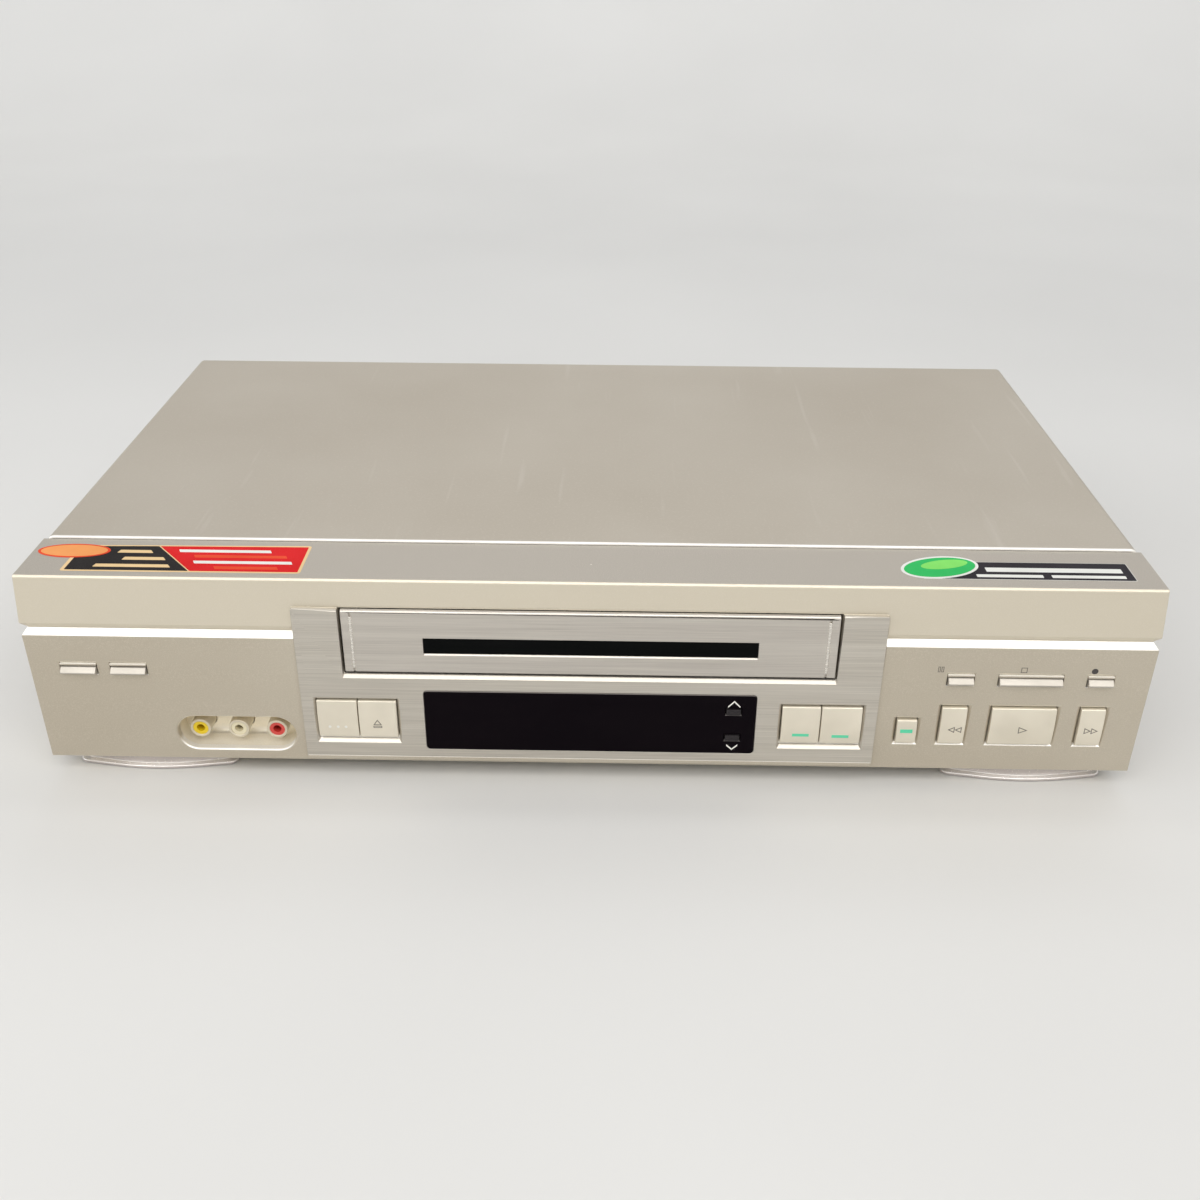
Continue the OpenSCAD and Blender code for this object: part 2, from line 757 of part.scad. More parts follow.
// Steel tray with stiffening steps, vents and the posts of the boards and the deck
module bottom_plate() {
    color(steel) difference() {
        union() {
            span([-tray_w / 2, front_y + lip_d + 0.3, foot_h],
                 [tray_w / 2, rear_y - 1.4, tray_z]);
            span([panel_wall + 0.3 - body_w / 2, front_y + tray_lip + 0.3, foot_h],
                 [body_w / 2 - panel_wall - 0.3, front_y + lip_d + 1, tray_z]);
            for (s = [-1, 1])
                translate([s * (tray_w / 2 - 0.6), 0, 0])
                    span([-0.6, front_y + lip_d + 2, foot_h], [0.6, rear_y - 1.4, tray_z + 14]);
            for (s = [-1, 1])
                for (y = [deck_y0 + post_in, deck_y1 - post_in])
                    rod_z(deck_x + s * (deck_w / 2 - post_in), y, 4, tray_z - eps, deck_z);
            for (p = board_posts)
                rod_z(p[0], p[1], 3, tray_z - eps, board_z);
        }
        for (i = [0:11])
            span([16.5 - tray_w / 2, rear_y - 40 - i * 8, foot_h - 1],
                 [62.5 - tray_w / 2, rear_y - 37 - i * 8, tray_z + 1]);
        for (i = [0:7])
            span([tray_w / 2 - 82.5, rear_y - 60 - i * 8, foot_h - 1],
                 [tray_w / 2 - 36.5, rear_y - 57 - i * 8, tray_z + 1]);
        for (y = screw_y)
            translate([0, y, screw_z]) rotate([0, 90, 0])
                cylinder(r = 1.7, h = body_w, center = true);
    }
}

// Ends of the mains board and of the signal board
mains_x0 = 8.5 - tray_w / 2;
mains_x1 = deck_x - deck_w / 2 - 6.75;
mains_y0 = front_y + 98;
signal_x0 = deck_x - deck_w / 2 + 0.25;
signal_x1 = tray_w / 2 - 7.5;
signal_y0 = front_y + 40;
bay_x0 = deck_x + deck_w / 2 + 19.25;
board_posts = [
    for (x = [mains_x0 + 6, mains_x1 - 8])
        for (y = [mains_y0 + 6, rear_y - 16])
            [x, y],
    for (x = [bay_x0, signal_x1 - 7])
        for (y = [signal_y0 + 16, rear_y - 16])
            [x, y]
];

tuner_x = tray_w / 2 - 66.5;
tuner_z = foot_h + 32;
aerial_pitch = 26;
rear_jack_x = tuner_x - 80;
rear_jack_z = foot_h + 38;
gland_x = 26.5 - tray_w / 2;
gland_z = foot_h + 20;

module rear_panel() {
    color(steel) difference() {
        span([-tray_w / 2 + 0.2, rear_y - 1.2, foot_h + 0.5],
             [tray_w / 2 - 0.2, rear_y, cover_top - sheet_t - 1]);
        for (c = [-0.5, 0.5])
            for (r = [-1:1])
                rod_y(rear_jack_x + c * rear_pitch, rear_jack_z + r * rear_pitch,
                      jack_r + 0.3, rear_y - 2, rear_y + 1);
        for (s = [-1, 1])
            rod_y(tuner_x + s * aerial_pitch / 2, tuner_z, aerial_r + 0.4, rear_y - 2, rear_y + 1);
        rod_y(gland_x, gland_z, 5.05, rear_y - 2, rear_y + 1);
        for (i = [0:15])
            span([gland_x + 26 + i * 6, rear_y - 2, foot_h + 20],
                 [gland_x + 29 + i * 6, rear_y + 1, foot_h + 62]);
    }
}

// The front sockets' block behind the recess
jack_y0 = front_y + recess_d + 1.9;
jack_y1 = jack_y0 + 12;

// Cream holder of the front sockets, with its three collars
module front_jack_holder() {
    color([0.88, 0.85, 0.76]) difference() {
        union() {
            span([jack_x - 24, jack_y0, jack_z - 8.5], [jack_x + 24, jack_y1, jack_z + 8.5]);
            for (i = [-1:1])
                rod_y(jack_x + i * jack_pitch, jack_z, jack_r, jack_front, jack_y0 + 1);
        }
        for (i = [-1:1])
            rod_y(jack_x + i * jack_pitch, jack_z, insert_r, jack_front - 1, jack_y1 + 1);
    }
}

// Coloured insert with its centre hole
module front_insert(i, tint) {
    color(tint) difference() {
        rod_y(jack_x + i * jack_pitch, jack_z, insert_r, jack_front + 0.4, jack_y1);
        rod_y(jack_x + i * jack_pitch, jack_z, contact_r, jack_front - 1, jack_y0 + 7);
    }
}

module front_jack_video() {
    front_insert(-1, [0.85, 0.7, 0.1]);
}

module front_jack_left() {
    front_insert(0, [0.9, 0.9, 0.86]);
}

module front_jack_right() {
    front_insert(1, [0.7, 0.1, 0.1]);
}

rear_block_y0 = rear_y - 14.5;

// Block of six rear sockets
module rear_jack_block() {
    color(plastic_dark) difference() {
        union() {
            span([rear_jack_x - rear_pitch / 2 - 10, rear_block_y0, rear_jack_z - rear_pitch - 10],
                 [rear_jack_x + rear_pitch / 2 + 10, rear_y - 1.5, rear_jack_z + rear_pitch + 10]);
            for (c = [-0.5, 0.5])
                for (r = [-1:1])
                    rod_y(rear_jack_x + c * rear_pitch, rear_jack_z + r * rear_pitch, jack_r,
                          rear_y - 2, rear_y + rear_jack_len);
            // Legs that stand on the main board
            for (s = [-1, 1])
                translate([rear_jack_x + s * 13, 0, 0])
                    span([-3, rear_block_y0, board_z + board_t],
                         [3, rear_block_y0 + 6.5, rear_jack_z - rear_pitch - 9]);
        }
        for (c = [-0.5, 0.5])
            for (r = [-1:1])
                rod_y(rear_jack_x + c * rear_pitch, rear_jack_z + r * rear_pitch, insert_r,
                      rear_block_y0 - 1, rear_y + rear_jack_len + 1);
    }
}

module rear_jack_rings() {
    color([0.8, 0.78, 0.7]) for (c = [-0.5, 0.5])
        for (r = [-1:1])
            difference() {
                rod_y(rear_jack_x + c * rear_pitch, rear_jack_z + r * rear_pitch, insert_r,
                      rear_block_y0, rear_y + rear_jack_len - 0.4);
                rod_y(rear_jack_x + c * rear_pitch, rear_jack_z + r * rear_pitch, contact_r,
                      rear_y - 4, rear_y + rear_jack_len);
            }
}

// Shielded tuner with two aerial sockets, whose washers lie in the rear panel
module tuner_box() {
    color(steel) {
        span([tuner_x - 28, rear_y - 46, board_z + board_t], [tuner_x + 28, rear_y - 1.5, tuner_z + 16]);
        for (s = [-1, 1])
            translate([tuner_x + s * aerial_pitch / 2, rear_y, tuner_z]) difference() {
                union() {
                    rod_y(0, 0, aerial_r, -1.45, aerial_len);
                    rod_y(0, 0, aerial_r + 0.35, -1.45, 0.2);
                }
                rod_y(0, 0, 1.2, 0, aerial_len + 1);
                rod_y(0, 0, 3, aerial_len - 1.5, aerial_len + 1);
            }
    }
}

// Bushing that would grip the mains cord
module cord_gland() {
    color(plastic_dark) difference() {
        union() {
            rod_y(gland_x, gland_z, 5, rear_y - 8, rear_y + 1);
            rod_y(gland_x, gland_z, 7, rear_y + 0.05, rear_y + 3);
            rod_y(gland_x, gland_z, 6.4, rear_y - 4, rear_y - 1.25);
        }
        rod_y(gland_x, gland_z, 3.2, rear_y - 9, rear_y + 4);
    }
}

// Mains board with transformer, capacitors and a finned heat sink
module power_board() {
    top = board_z + 1;
    sink_x0 = mains_x0 + 6;
    sink_x1 = mains_x1 - 16;
    sink_y = mains_y0 + 14;
    color([0.66, 0.55, 0.32]) difference() {
        union() {
            span([mains_x0, mains_y0, board_z], [mains_x1, rear_y - 9, board_z + board_t]);
            span([mains_x1 - 44, rear_y - 70, top], [mains_x1 - 10, rear_y - 40, board_z + 34]);
            rod_z(mains_x0 + 28, rear_y - 50, 11, top, board_z + 32);
            for (d = [20, 36])
                rod_z(mains_x0 + d, rear_y - 84, 6, top, board_z + 24);
            rod_z(mains_x1 - 24, rear_y - 90, 5, top, board_z + 18);
            span([sink_x0, sink_y, top], [sink_x1, sink_y + 3, board_z + 42]);
            for (x = [sink_x0 + 2:8:sink_x1 - 1.5])
                span([x, sink_y, board_z + 6], [x + 1.5, sink_y + 12, board_z + 42]);
        }
        for (p = board_posts)
            rod_z(p[0], p[1], 1.4, board_z - 1, board_z + 4);
    }
}

// Signal board under and beside the deck
module main_board() {
    top = board_z + 1;
    cap_pitch = (signal_x1 - 20 - bay_x0) / 5;
    color(board_green) difference() {
        union() {
            span([signal_x0, signal_y0, board_z], [signal_x1, rear_y - 6, board_z + board_t]);
            span([signal_x1 - 79, front_y + 70, top], [signal_x1 - 19, front_y + 112, board_z + 12]);
            span([signal_x1 - 89, front_y + 126, top], [signal_x1 - 73, front_y + 142, board_z + 4]);
            span([signal_x1 - 59, front_y + 126, top], [signal_x1 - 39, front_y + 146, board_z + 4]);
            for (i = [0:5])
                rod_z(bay_x0 + i * cap_pitch, front_y + 160, 3.2, top, board_z + 13);
            for (i = [0:3])
                rod_z(signal_x1 - 13, front_y + 84 + i * 16, 4, top, board_z + 15);
        }
        for (s = [-1, 1])
            for (y = [deck_y0 + post_in, deck_y1 - post_in])
                rod_z(deck_x + s * (deck_w / 2 - post_in), y, 5, board_z - 1, board_z + 4);
        for (p = board_posts)
            rod_z(p[0], p[1], 1.4, board_z - 1, board_z + 4);
    }
}

function key_mid(w) = [(w[0] + w[1]) / 2, (key_z0(w) + key_z1(w)) / 2];
function bar_mid(w) = [(w[0] + w[1]) / 2, panel_top - (w[2] + w[3]) / 2];
switch_places = [
    [(pair_left[0] + split_left) / 2, key_mid(pair_left)[1]],
    [(split_left + pair_left[1]) / 2, key_mid(pair_left)[1]],
    [(pair_right[0] + split_right) / 2, key_mid(pair_right)[1]],
    [(split_right + pair_right[1]) / 2, key_mid(pair_right)[1]],
    key_mid(well_back), key_mid(well_rewind), key_mid(well_play), key_mid(well_forward),
    bar_mid(bar_pause), bar_mid(bar_stop), bar_mid(bar_record), bar_mid(bar_quick),
    bar_mid(bar_timer),
    [channel_x, panel_top - channel_up_d], [channel_x, panel_top - channel_down_d]
];

tube_x0 = window_x - window_w / 2 + 11.5;
tube_x1 = window_x + window_w / 2 - 18.3;

// Board behind the front, with one switch for each key and the display tube
module front_board() {
    color(board_green) {
        difference() {
            union() {
                span([8 - body_w / 2, board_y, foot_h + 5],
                     [body_w / 2 - 8, board_y + board_t, slot_z0 - 4.4]);
                for (s = [0, 1])
                    mirror([s, 0, 0])
                        span([slot_w / 2 + 24.25, board_y, panel_top - 46],
                             [body_w / 2 - 8, board_y + board_t, panel_top - 31]);
            }
            span([jack_x - 29, board_y - 1, foot_h], [jack_x + 29, board_y + 3, jack_z + 12]);
        }
        for (p = switch_places) {
            span([p[0] - 2.6, board_y - 4.2, p[1] - 2.6], [p[0] + 2.6, board_y + eps, p[1] + 2.6]);
            rod_y(p[0], p[1], 1.6, stem_y + key_travel + 0.3, board_y - 4);
        }
    }
    color([0.3, 0.33, 0.34]) span([tube_x0, front_y + 2, window_z0 + 3],
                                  [tube_x1, front_y + 8, window_z1 - 3]);
    color(plastic_dark) for (x = [tube_x0 + 6, tube_x1 - 7])
        span([x - 2, front_y + 8, window_z0 + 6], [x + 2, board_y, window_z1 - 6]);
}

// Straight track of a tape guide
module guide_track(x, turn, w, z0, z1) {
    translate([x, guide_y, z0]) rotate([0, 0, turn])
        translate([-w / 2, -w / 2, 0]) cube([w, guide_travel + w, z1 - z0]);
}

module deck_chassis() {
    color(steel) difference() {
        union() {
            span([deck_x - deck_w / 2, deck_y0, deck_z], [deck_x + deck_w / 2, deck_y1, deck_top]);
            for (s = [-1, 1])
                rod_z(deck_x + s * reel_x, reel_y, 2.5, deck_top - eps, deck_top + 13);
            rod_z(gear_x, gear_y, 2.5, deck_top - eps, gear_z + 3);
            rod_z(gear_x, gear_y, 5, deck_top - eps, gear_z - 2.3);
            rod_z(tension_x, tension_y, 2, deck_top - eps, deck_top + 9);
            rod_z(tension_x, tension_y, 4, deck_top - eps, deck_top + 5.7);
            rod_z(pinch_x, pinch_y, 2, deck_top - eps, deck_top + 12);
            rod_z(pinch_x, pinch_y, 4.5, deck_top - eps, deck_top + 7.7);
            rod_z(capstan_x, capstan_y, 6, deck_top - eps, deck_top + 5);
            rod_z(deck_x, hub_y, 6, deck_z, deck_top + 0.6);
        }
        rod_z(capstan_x, capstan_y, capstan_r + run_fit, deck_z - 1, deck_top + 20);
        rod_z(deck_x, hub_y, 3 + run_fit, deck_z - 1, deck_top + 2);
        guide_track(entry_x, entry_turn, 4, deck_z - 1, deck_top + 1);
        guide_track(exit_x, exit_turn, 4, deck_z - 1, deck_top + 1);
        span([deck_x - 30, deck_y0 + 8, deck_z - 1], [deck_x + 30, deck_y0 + 18, deck_top + 1]);
    }
}

// Side walls with the L-shaped tracks of the cassette carriage
module deck_side_walls() {
    z_top = panel_top - 5;
    color(steel) for (s = [-1, 1])
        translate([deck_x + s * side_x, 0, 0]) difference() {
            union() {
                span([s > 0 ? 0 : -side_t, deck_y0, deck_top], [s > 0 ? side_t : 0, deck_y0 + side_d, z_top]);
                span([s > 0 ? 0 : -side_foot, deck_y0 + 4, deck_top],
                     [s > 0 ? side_foot : 0, deck_y0 + side_d - 4, deck_top + 1]);
            }
            span([-3, deck_y0 + 8, pin_z - pin_r - 0.2],
                 [3, deck_y0 + 36 + load_travel - 2, pin_z + pin_r + 0.2]);
            for (y = [deck_y0 + 10, deck_y0 + 34])
                span([-3, y + load_travel - 2.2, pin_z - pin_r - drop_travel],
                     [3, y + load_travel + 2.2, pin_z + 2]);
            span([-3, deck_y0 + 14, deck_top + 6], [3, deck_y0 + 52, deck_top + 16]);
        }
}

// Slide with two upright slots, joined over the carriage by a bar
module loading_slide() {
    y0 = deck_y0 + 4;
    y1 = deck_y0 + 40;
    color([0.85, 0.84, 0.8]) difference() {
        union() {
            for (s = [-1, 1])
                translate([deck_x + s * slide_x, 0, 0])
                    span([s > 0 ? 0 : -slide_t, y0, pin_z - drop_travel - 6],
                         [s > 0 ? slide_t : 0, y1, holder_z + holder_h + 3]);
            span([deck_x - slide_x - slide_t, deck_y0 + 18, holder_z + holder_h + 2],
                 [deck_x + slide_x + slide_t, deck_y0 + 28, holder_z + holder_h + 3.2]);
        }
        for (s = [-1, 1])
            for (y = [deck_y0 + 10, deck_y0 + 34])
                translate([deck_x + s * slide_x, 0, 0])
                    span([-3, y - pin_r - run_fit, pin_z - drop_travel - pin_r - 0.3],
                         [3, y + pin_r + run_fit, pin_z + pin_r + 0.3]);
    }
}

// Carriage that takes the cassette: ledges, roof, stops and guide pins
module cassette_holder() {
    y0 = deck_y0;
    y1 = deck_y0 + holder_d;
    half = slot_w / 2;
    color(steel) {
        for (s = [-1, 1])
            translate([deck_x, 0, 0]) mirror([s > 0 ? 0 : 1, 0, 0]) {
                span([half, y0, holder_z], [half + holder_t, y1, holder_z + holder_h]);
                span([half - ledge_w, y0, holder_z], [half + eps, y1, holder_z + holder_t]);
                span([half - 24, y1 - holder_t, holder_z], [half, y1, holder_z + 10]);
                for (y = [deck_y0 + 10, deck_y0 + 34])
                    translate([half + holder_t - eps, y, pin_z]) rotate([0, 90, 0])
                        cylinder(r = pin_r, h = 1.7);
            }
        difference() {
            span([deck_x - half, y0, holder_z + holder_h - holder_t],
                 [deck_x + half, y1, holder_z + holder_h]);
            for (s = [-1, 1])
                translate([deck_x + s * 45, 0, 0])
                    span([-22, y0 + 12, holder_z], [22, y1 - 12, holder_z + holder_h + 1]);
        }
    }
}

// Reel table with its splined spindle
module reel(x) {
    color([0.88, 0.88, 0.86]) translate([x, reel_y, deck_top + 1]) difference() {
        union() {
            cylinder(r = reel_r, h = 3);
            cylinder(r = 11, h = 6);
            cylinder(r = 5, h = 14);
            for (a = [0:120:240])
                rotate([0, 0, a]) translate([0, -1.2, 5.5]) cube([8, 2.4, 10]);
            translate([0, 0, 14]) cylinder(r1 = 5, r2 = 2.6, h = 4);
        }
        translate([0, 0, -1]) cylinder(r = 2.5 + run_fit, h = 14);
        for (a = [0:45:315])
            rotate([0, 0, a]) translate([15, 0, -1]) cylinder(r = 2.4, h = 5);
    }
}

module supply_reel() {
    reel(deck_x - reel_x);
}

module takeup_reel() {
    reel(deck_x + reel_x);
}

module on_drum_axis() {
    translate([drum_x, drum_y, drum_z]) rotate([0, drum_tilt, 0]) children();
}

// Fixed lower drum on its foot, with the helical ledge that guides the tape
module lower_drum() {
    color(silver) {
        on_drum_axis() difference() {
            union() {
                cylinder(r = drum_r, h = drum_low_h, $fn = 96);
                translate([0, 0, -1.4]) cylinder(r = 12, h = 2);
            }
            translate([0, 0, -3]) cylinder(r = 3 + run_fit, h = drum_low_h + 4);
            translate([0, 0, drum_low_h - 5]) rotate_extrude()
                translate([10, 0]) square([16, 6]);
            translate([0, 0, 4]) difference() {
                cylinder(r = drum_r + 1, h = 1);
                translate([0, 0, -1]) cylinder(r = drum_r - 0.4, h = 3, $fn = 96);
            }
        }
        difference() {
            rod_z(drum_x, drum_y, 22, deck_top, deck_top + 1.6);
            rod_z(drum_x, drum_y, 8, deck_top - 1, deck_top + 3);
        }
        for (a = [60, 180, 300])
            translate([drum_x + 17 * cos(a), drum_y + 17 * sin(a), deck_top + 1])
                cylinder(r = 3, h = drum_z - deck_top + 3);
    }
}

// Spinning upper drum with its head windows and its shaft
module upper_drum() {
    color(silver) on_drum_axis() translate([0, 0, drum_low_h + drum_gap]) difference() {
        union() {
            cylinder(r = drum_r, h = drum_up_h - 6, $fn = 96);
            cylinder(r = 20, h = drum_up_h);
            translate([0, 0, -drum_low_h]) cylinder(r = 3, h = drum_low_h + 2);
        }
        for (a = [0:60:300])
            rotate([0, 0, a]) translate([drum_r - 3, -1.5, -1]) cube([4, 3, 2.5]);
        translate([0, 0, drum_up_h - 3]) rotate_extrude() translate([6, 0]) square([11, 4]);
        for (a = [0:90:270])
            rotate([0, 0, a]) translate([25, 0, drum_up_h - 8]) cylinder(r = 1.6, h = 4);
    }
}

// Capstan: shaft, flywheel and belt pulley in one
module capstan() {
    pulley_top = belt_z + belt_h + 0.3;
    color(steel) {
        difference() {
            union() {
                rod_z(capstan_x, capstan_y, flywheel_r, pulley_top, deck_z - 0.4);
                rod_z(capstan_x, capstan_y, capstan_pulley_r, belt_z - 0.3, pulley_top + eps);
            }
            difference() {
                rod_z(capstan_x, capstan_y, capstan_pulley_r + 1, belt_z, belt_z + belt_h);
                rod_z(capstan_x, capstan_y, capstan_pulley_r - 0.8, belt_z - 1, belt_z + belt_h + 1);
            }
            for (a = [0:60:300])
                translate([capstan_x + 16 * cos(a), capstan_y + 16 * sin(a), pulley_top - 1])
                    cylinder(r = 3, h = 8);
        }
        rod_z(capstan_x, capstan_y, capstan_r, pulley_top, deck_top + 27);
    }
}

// Arm of the pinch roller, at its rest angle
module pinch_arm() {
    z0 = deck_top + 8;
    color(steel) translate([pinch_x, pinch_y, 0]) rotate([0, 0, pinch_rest]) difference() {
        union() {
            rod_z(0, 0, 4.5, z0, z0 + 3);
            rod_z(pinch_len, 0, 3.5, z0, z0 + 1.6);
            span([0, -3, z0], [pinch_len, 3, z0 + 1.6]);
            rod_z(pinch_len, 0, 1.5, z0 + 1, z0 + 19);
        }
        rod_z(0, 0, 2 + run_fit, z0 - 1, z0 + 5);
    }
}

module pinch_roller() {
    z0 = deck_top + 10;
    color(plastic_dark) translate([pinch_x, pinch_y, 0]) rotate([0, 0, pinch_rest])
        translate([pinch_len, 0, 0]) difference() {
            rod_z(0, 0, pinch_r, z0, z0 + 15.5);
            rod_z(0, 0, 1.5 + run_fit, z0 - 1, z0 + 17);
        }
}

// Tape guide: a carriage with a roller post and a leaning post
module tape_guide(x, turn, lean) {
    color([0.82, 0.82, 0.8]) translate([x, guide_y, deck_top]) rotate([0, 0, turn]) {
        span([-7, -6, 0.3], [7, 6, 4.5]);
        rod_z(0, 0, 1.9, -deck_t - 1, 1);
        rod_z(0, 0, 3.4, -deck_t - 2.4, -deck_t - 0.9);
        rod_z(0, 1, 3, 4, 26);
        rod_z(0, 1, 3.8, 4, 6.5);
        rod_z(0, 1, 3.8, 24, 27);
        translate([lean * 4.5, -2.5, 4]) rotate([0, lean * 8, 0]) cylinder(r = 1, h = 22);
    }
}

module entry_guide() {
    tape_guide(entry_x, entry_turn, -1);
}

module exit_guide() {
    tape_guide(exit_x, exit_turn, 1);
}

module tension_arm() {
    z0 = deck_top + 6;
    color(steel) translate([tension_x, tension_y, 0]) rotate([0, 0, tension_rest]) difference() {
        union() {
            rod_z(0, 0, 4, z0, z0 + 2.4);
            span([0, -2, z0], [tension_len, 2, z0 + 1.2]);
            rod_z(tension_len, 0, 2.4, z0, z0 + 1.2);
            rod_z(tension_len, 0, 1.5, z0 + 1, z0 + 22);
        }
        rod_z(0, 0, 2 + run_fit, z0 - 1, z0 + 4);
    }
}

// Swinging arm that brings the idler wheel to one reel or the other
module idler_arm() {
    z0 = deck_top + 4.4;
    color(steel) difference() {
        union() {
            span([deck_x - 3, hub_y - idler_len, z0], [deck_x + 3, hub_y, z0 + 1.2]);
            rod_z(deck_x, hub_y, 6, z0, z0 + 1.2);
            rod_z(deck_x, hub_y - idler_len, 3, z0, z0 + 1.2);
            rod_z(deck_x, hub_y - idler_len, 1.5, deck_top + 1, z0 + 1);
        }
        rod_z(deck_x, hub_y, 3 + run_fit, z0 - 1, z0 + 3);
    }
}

module idler_wheel() {
    color(plastic_dark) difference() {
        rod_z(deck_x, hub_y - idler_len, idler_r, deck_top + 1.2, deck_top + 3.8);
        rod_z(deck_x, hub_y - idler_len, 1.5 + run_fit, deck_top, deck_top + 5);
    }
}

// Belt pulley under the deck and drive hub above it, on one shaft
module center_pulley() {
    color([0.85, 0.85, 0.83]) {
        rod_z(deck_x, hub_y, 3, belt_z, deck_top + 6);
        difference() {
            rod_z(deck_x, hub_y, center_pulley_r, belt_z - 0.3, belt_z + belt_h + 0.3);
            difference() {
                rod_z(deck_x, hub_y, center_pulley_r + 1, belt_z, belt_z + belt_h);
                rod_z(deck_x, hub_y, center_pulley_r - 0.8, belt_z - 1, belt_z + belt_h + 1);
            }
        }
        rod_z(deck_x, hub_y, hub_r, deck_top + 1.2, deck_top + 3.8);
    }
}

// Outline of a loop over two round things at a and b
function loop_points(a, ra, b, rb) =
    let (d = norm(b - a), base = atan2(b[1] - a[1], b[0] - a[0]), open = acos((ra - rb) / d))
    concat(
        [for (i = [0:16]) let (t = base + open + i * (360 - 2 * open) / 16)
            a + ra * [cos(t), sin(t)]],
        [for (i = [0:16]) let (t = base - open + i * 2 * open / 16)
            b + rb * [cos(t), sin(t)]]
    );

module drive_belt() {
    a = [capstan_x, capstan_y];
    b = [deck_x, hub_y];
    color(dark) translate([0, 0, belt_z + 0.3]) linear_extrude(belt_h - 0.6) difference() {
        polygon(loop_points(a, capstan_pulley_r + 0.5, b, center_pulley_r + 0.5));
        polygon(loop_points(a, capstan_pulley_r - 0.6, b, center_pulley_r - 0.6));
    }
}

// Toothed loading gear that the worm drives
module loading_gear() {
    color([0.9, 0.88, 0.8]) translate([gear_x, gear_y, gear_z - 2]) difference() {
        union() {
            linear_extrude(4) polygon([
                for (i = [0:gear_teeth * 4 - 1])
                    let (a = (i + (i % 4 < 2 ? 0.15 : -0.15)) * 90 / gear_teeth)
                    let (r = i % 4 < 2 ? gear_r : gear_r - 1.2)
                    r * [cos(a), sin(a)]
            ]);
            cylinder(r = 4.5, h = 4.6);
        }
        translate([0, 0, -1]) cylinder(r = 2.5 + run_fit, h = 8);
        for (a = [0:60:300])
            rotate([0, 0, a]) translate([6.9, 0, -1]) cylinder(r = 1.4, h = 8);
    }
}

worm_y1 = gear_y + worm_len / 2;

// Loading motor in its bracket
module loading_motor() {
    color([0.55, 0.56, 0.58]) difference() {
        union() {
            rod_y(worm_x, gear_z, 9.5, worm_y1 + 3, worm_y1 + 23);
            rod_y(worm_x, gear_z, 4, worm_y1 + 1.6, worm_y1 + 25);
            span([worm_x - 9, worm_y1 + 4, deck_top], [worm_x + 9, worm_y1 + 8, gear_z]);
        }
        rod_y(worm_x, gear_z, 1 + run_fit, worm_y1, worm_y1 + 12);
    }
}

// Worm on the motor's shaft, its thread as evenly pitched rings
module loading_worm() {
    color([0.85, 0.75, 0.4]) {
        rod_y(worm_x, gear_z, 2.2, worm_y1 - worm_len, worm_y1);
        rod_y(worm_x, gear_z, 1, worm_y1 - 1, worm_y1 + 10);
        for (i = [0:5])
            translate([worm_x, worm_y1 - worm_len + 1 + i * 2.2, gear_z]) rotate([-90, 0, 0]) {
                cylinder(r1 = 2.1, r2 = worm_r, h = 0.6);
                translate([0, 0, 0.6 - eps]) cylinder(r1 = worm_r, r2 = 2.1, h = 0.6);
            }
    }
}

// Erase head on the left of the drum and sound head on its right
module tape_heads() {
    color(steel) {
        translate([deck_x - 76, stop_y + 26, deck_top]) difference() {
            span([-6, -5, 0], [6, 5, 20]);
            span([-3, 3, 4], [3, 6, 19]);
        }
        translate([deck_x + 63, stop_y + 38, deck_top]) {
            span([-8, -6, 0], [8, 6, 3]);
            span([-6, -5, 2.9], [6, 5, 22]);
            for (z = [6, 13])
                span([-2.5, -5.8, z], [2.5, -4.9, z + 4]);
        }
    }
}

top_cover();
cover_screws();
front_panel();
center_bezel();
cassette_door();
door_strip();
display_window();
power_key();
eject_key();
timer_start_key();
timer_end_key();
timer_back_key();
rewind_key();
play_key();
fast_forward_key();
pause_key();
stop_key();
record_key();
quick_timer_key();
timer_switch_key();
channel_up_key();
channel_down_key();
front_foot_left();
front_foot_right();
rear_feet();
bottom_plate();
rear_panel();
front_jack_holder();
front_jack_video();
front_jack_left();
front_jack_right();
rear_jack_block();
rear_jack_rings();
tuner_box();
cord_gland();
power_board();
main_board();
front_board();
deck_chassis();
deck_side_walls();
loading_slide();
cassette_holder();
supply_reel();
takeup_reel();
lower_drum();
upper_drum();
capstan();
pinch_arm();
pinch_roller();
entry_guide();
exit_guide();
tension_arm();
idler_arm();
idler_wheel();
center_pulley();
drive_belt();
loading_gear();
loading_motor();
loading_worm();
tape_heads();
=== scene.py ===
# %% [markdown]
# # Dressing a front-loading video cassette recorder
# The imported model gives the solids: a moulded front, a folded steel cover, keys, sockets and a
# working deck. This lesson gives them what they lack, which is the small radii that catch the
# light, the printed marks, the stickers and the finishes. The first cell loads the model, whose
# pieces already stand in the right place, and keeps its box to compare with at the end.

# %% Load the recorder
import json
import math

import bmesh
import bpy
from mathutils import Matrix, Vector
from mathutils.bvhtree import BVHTree

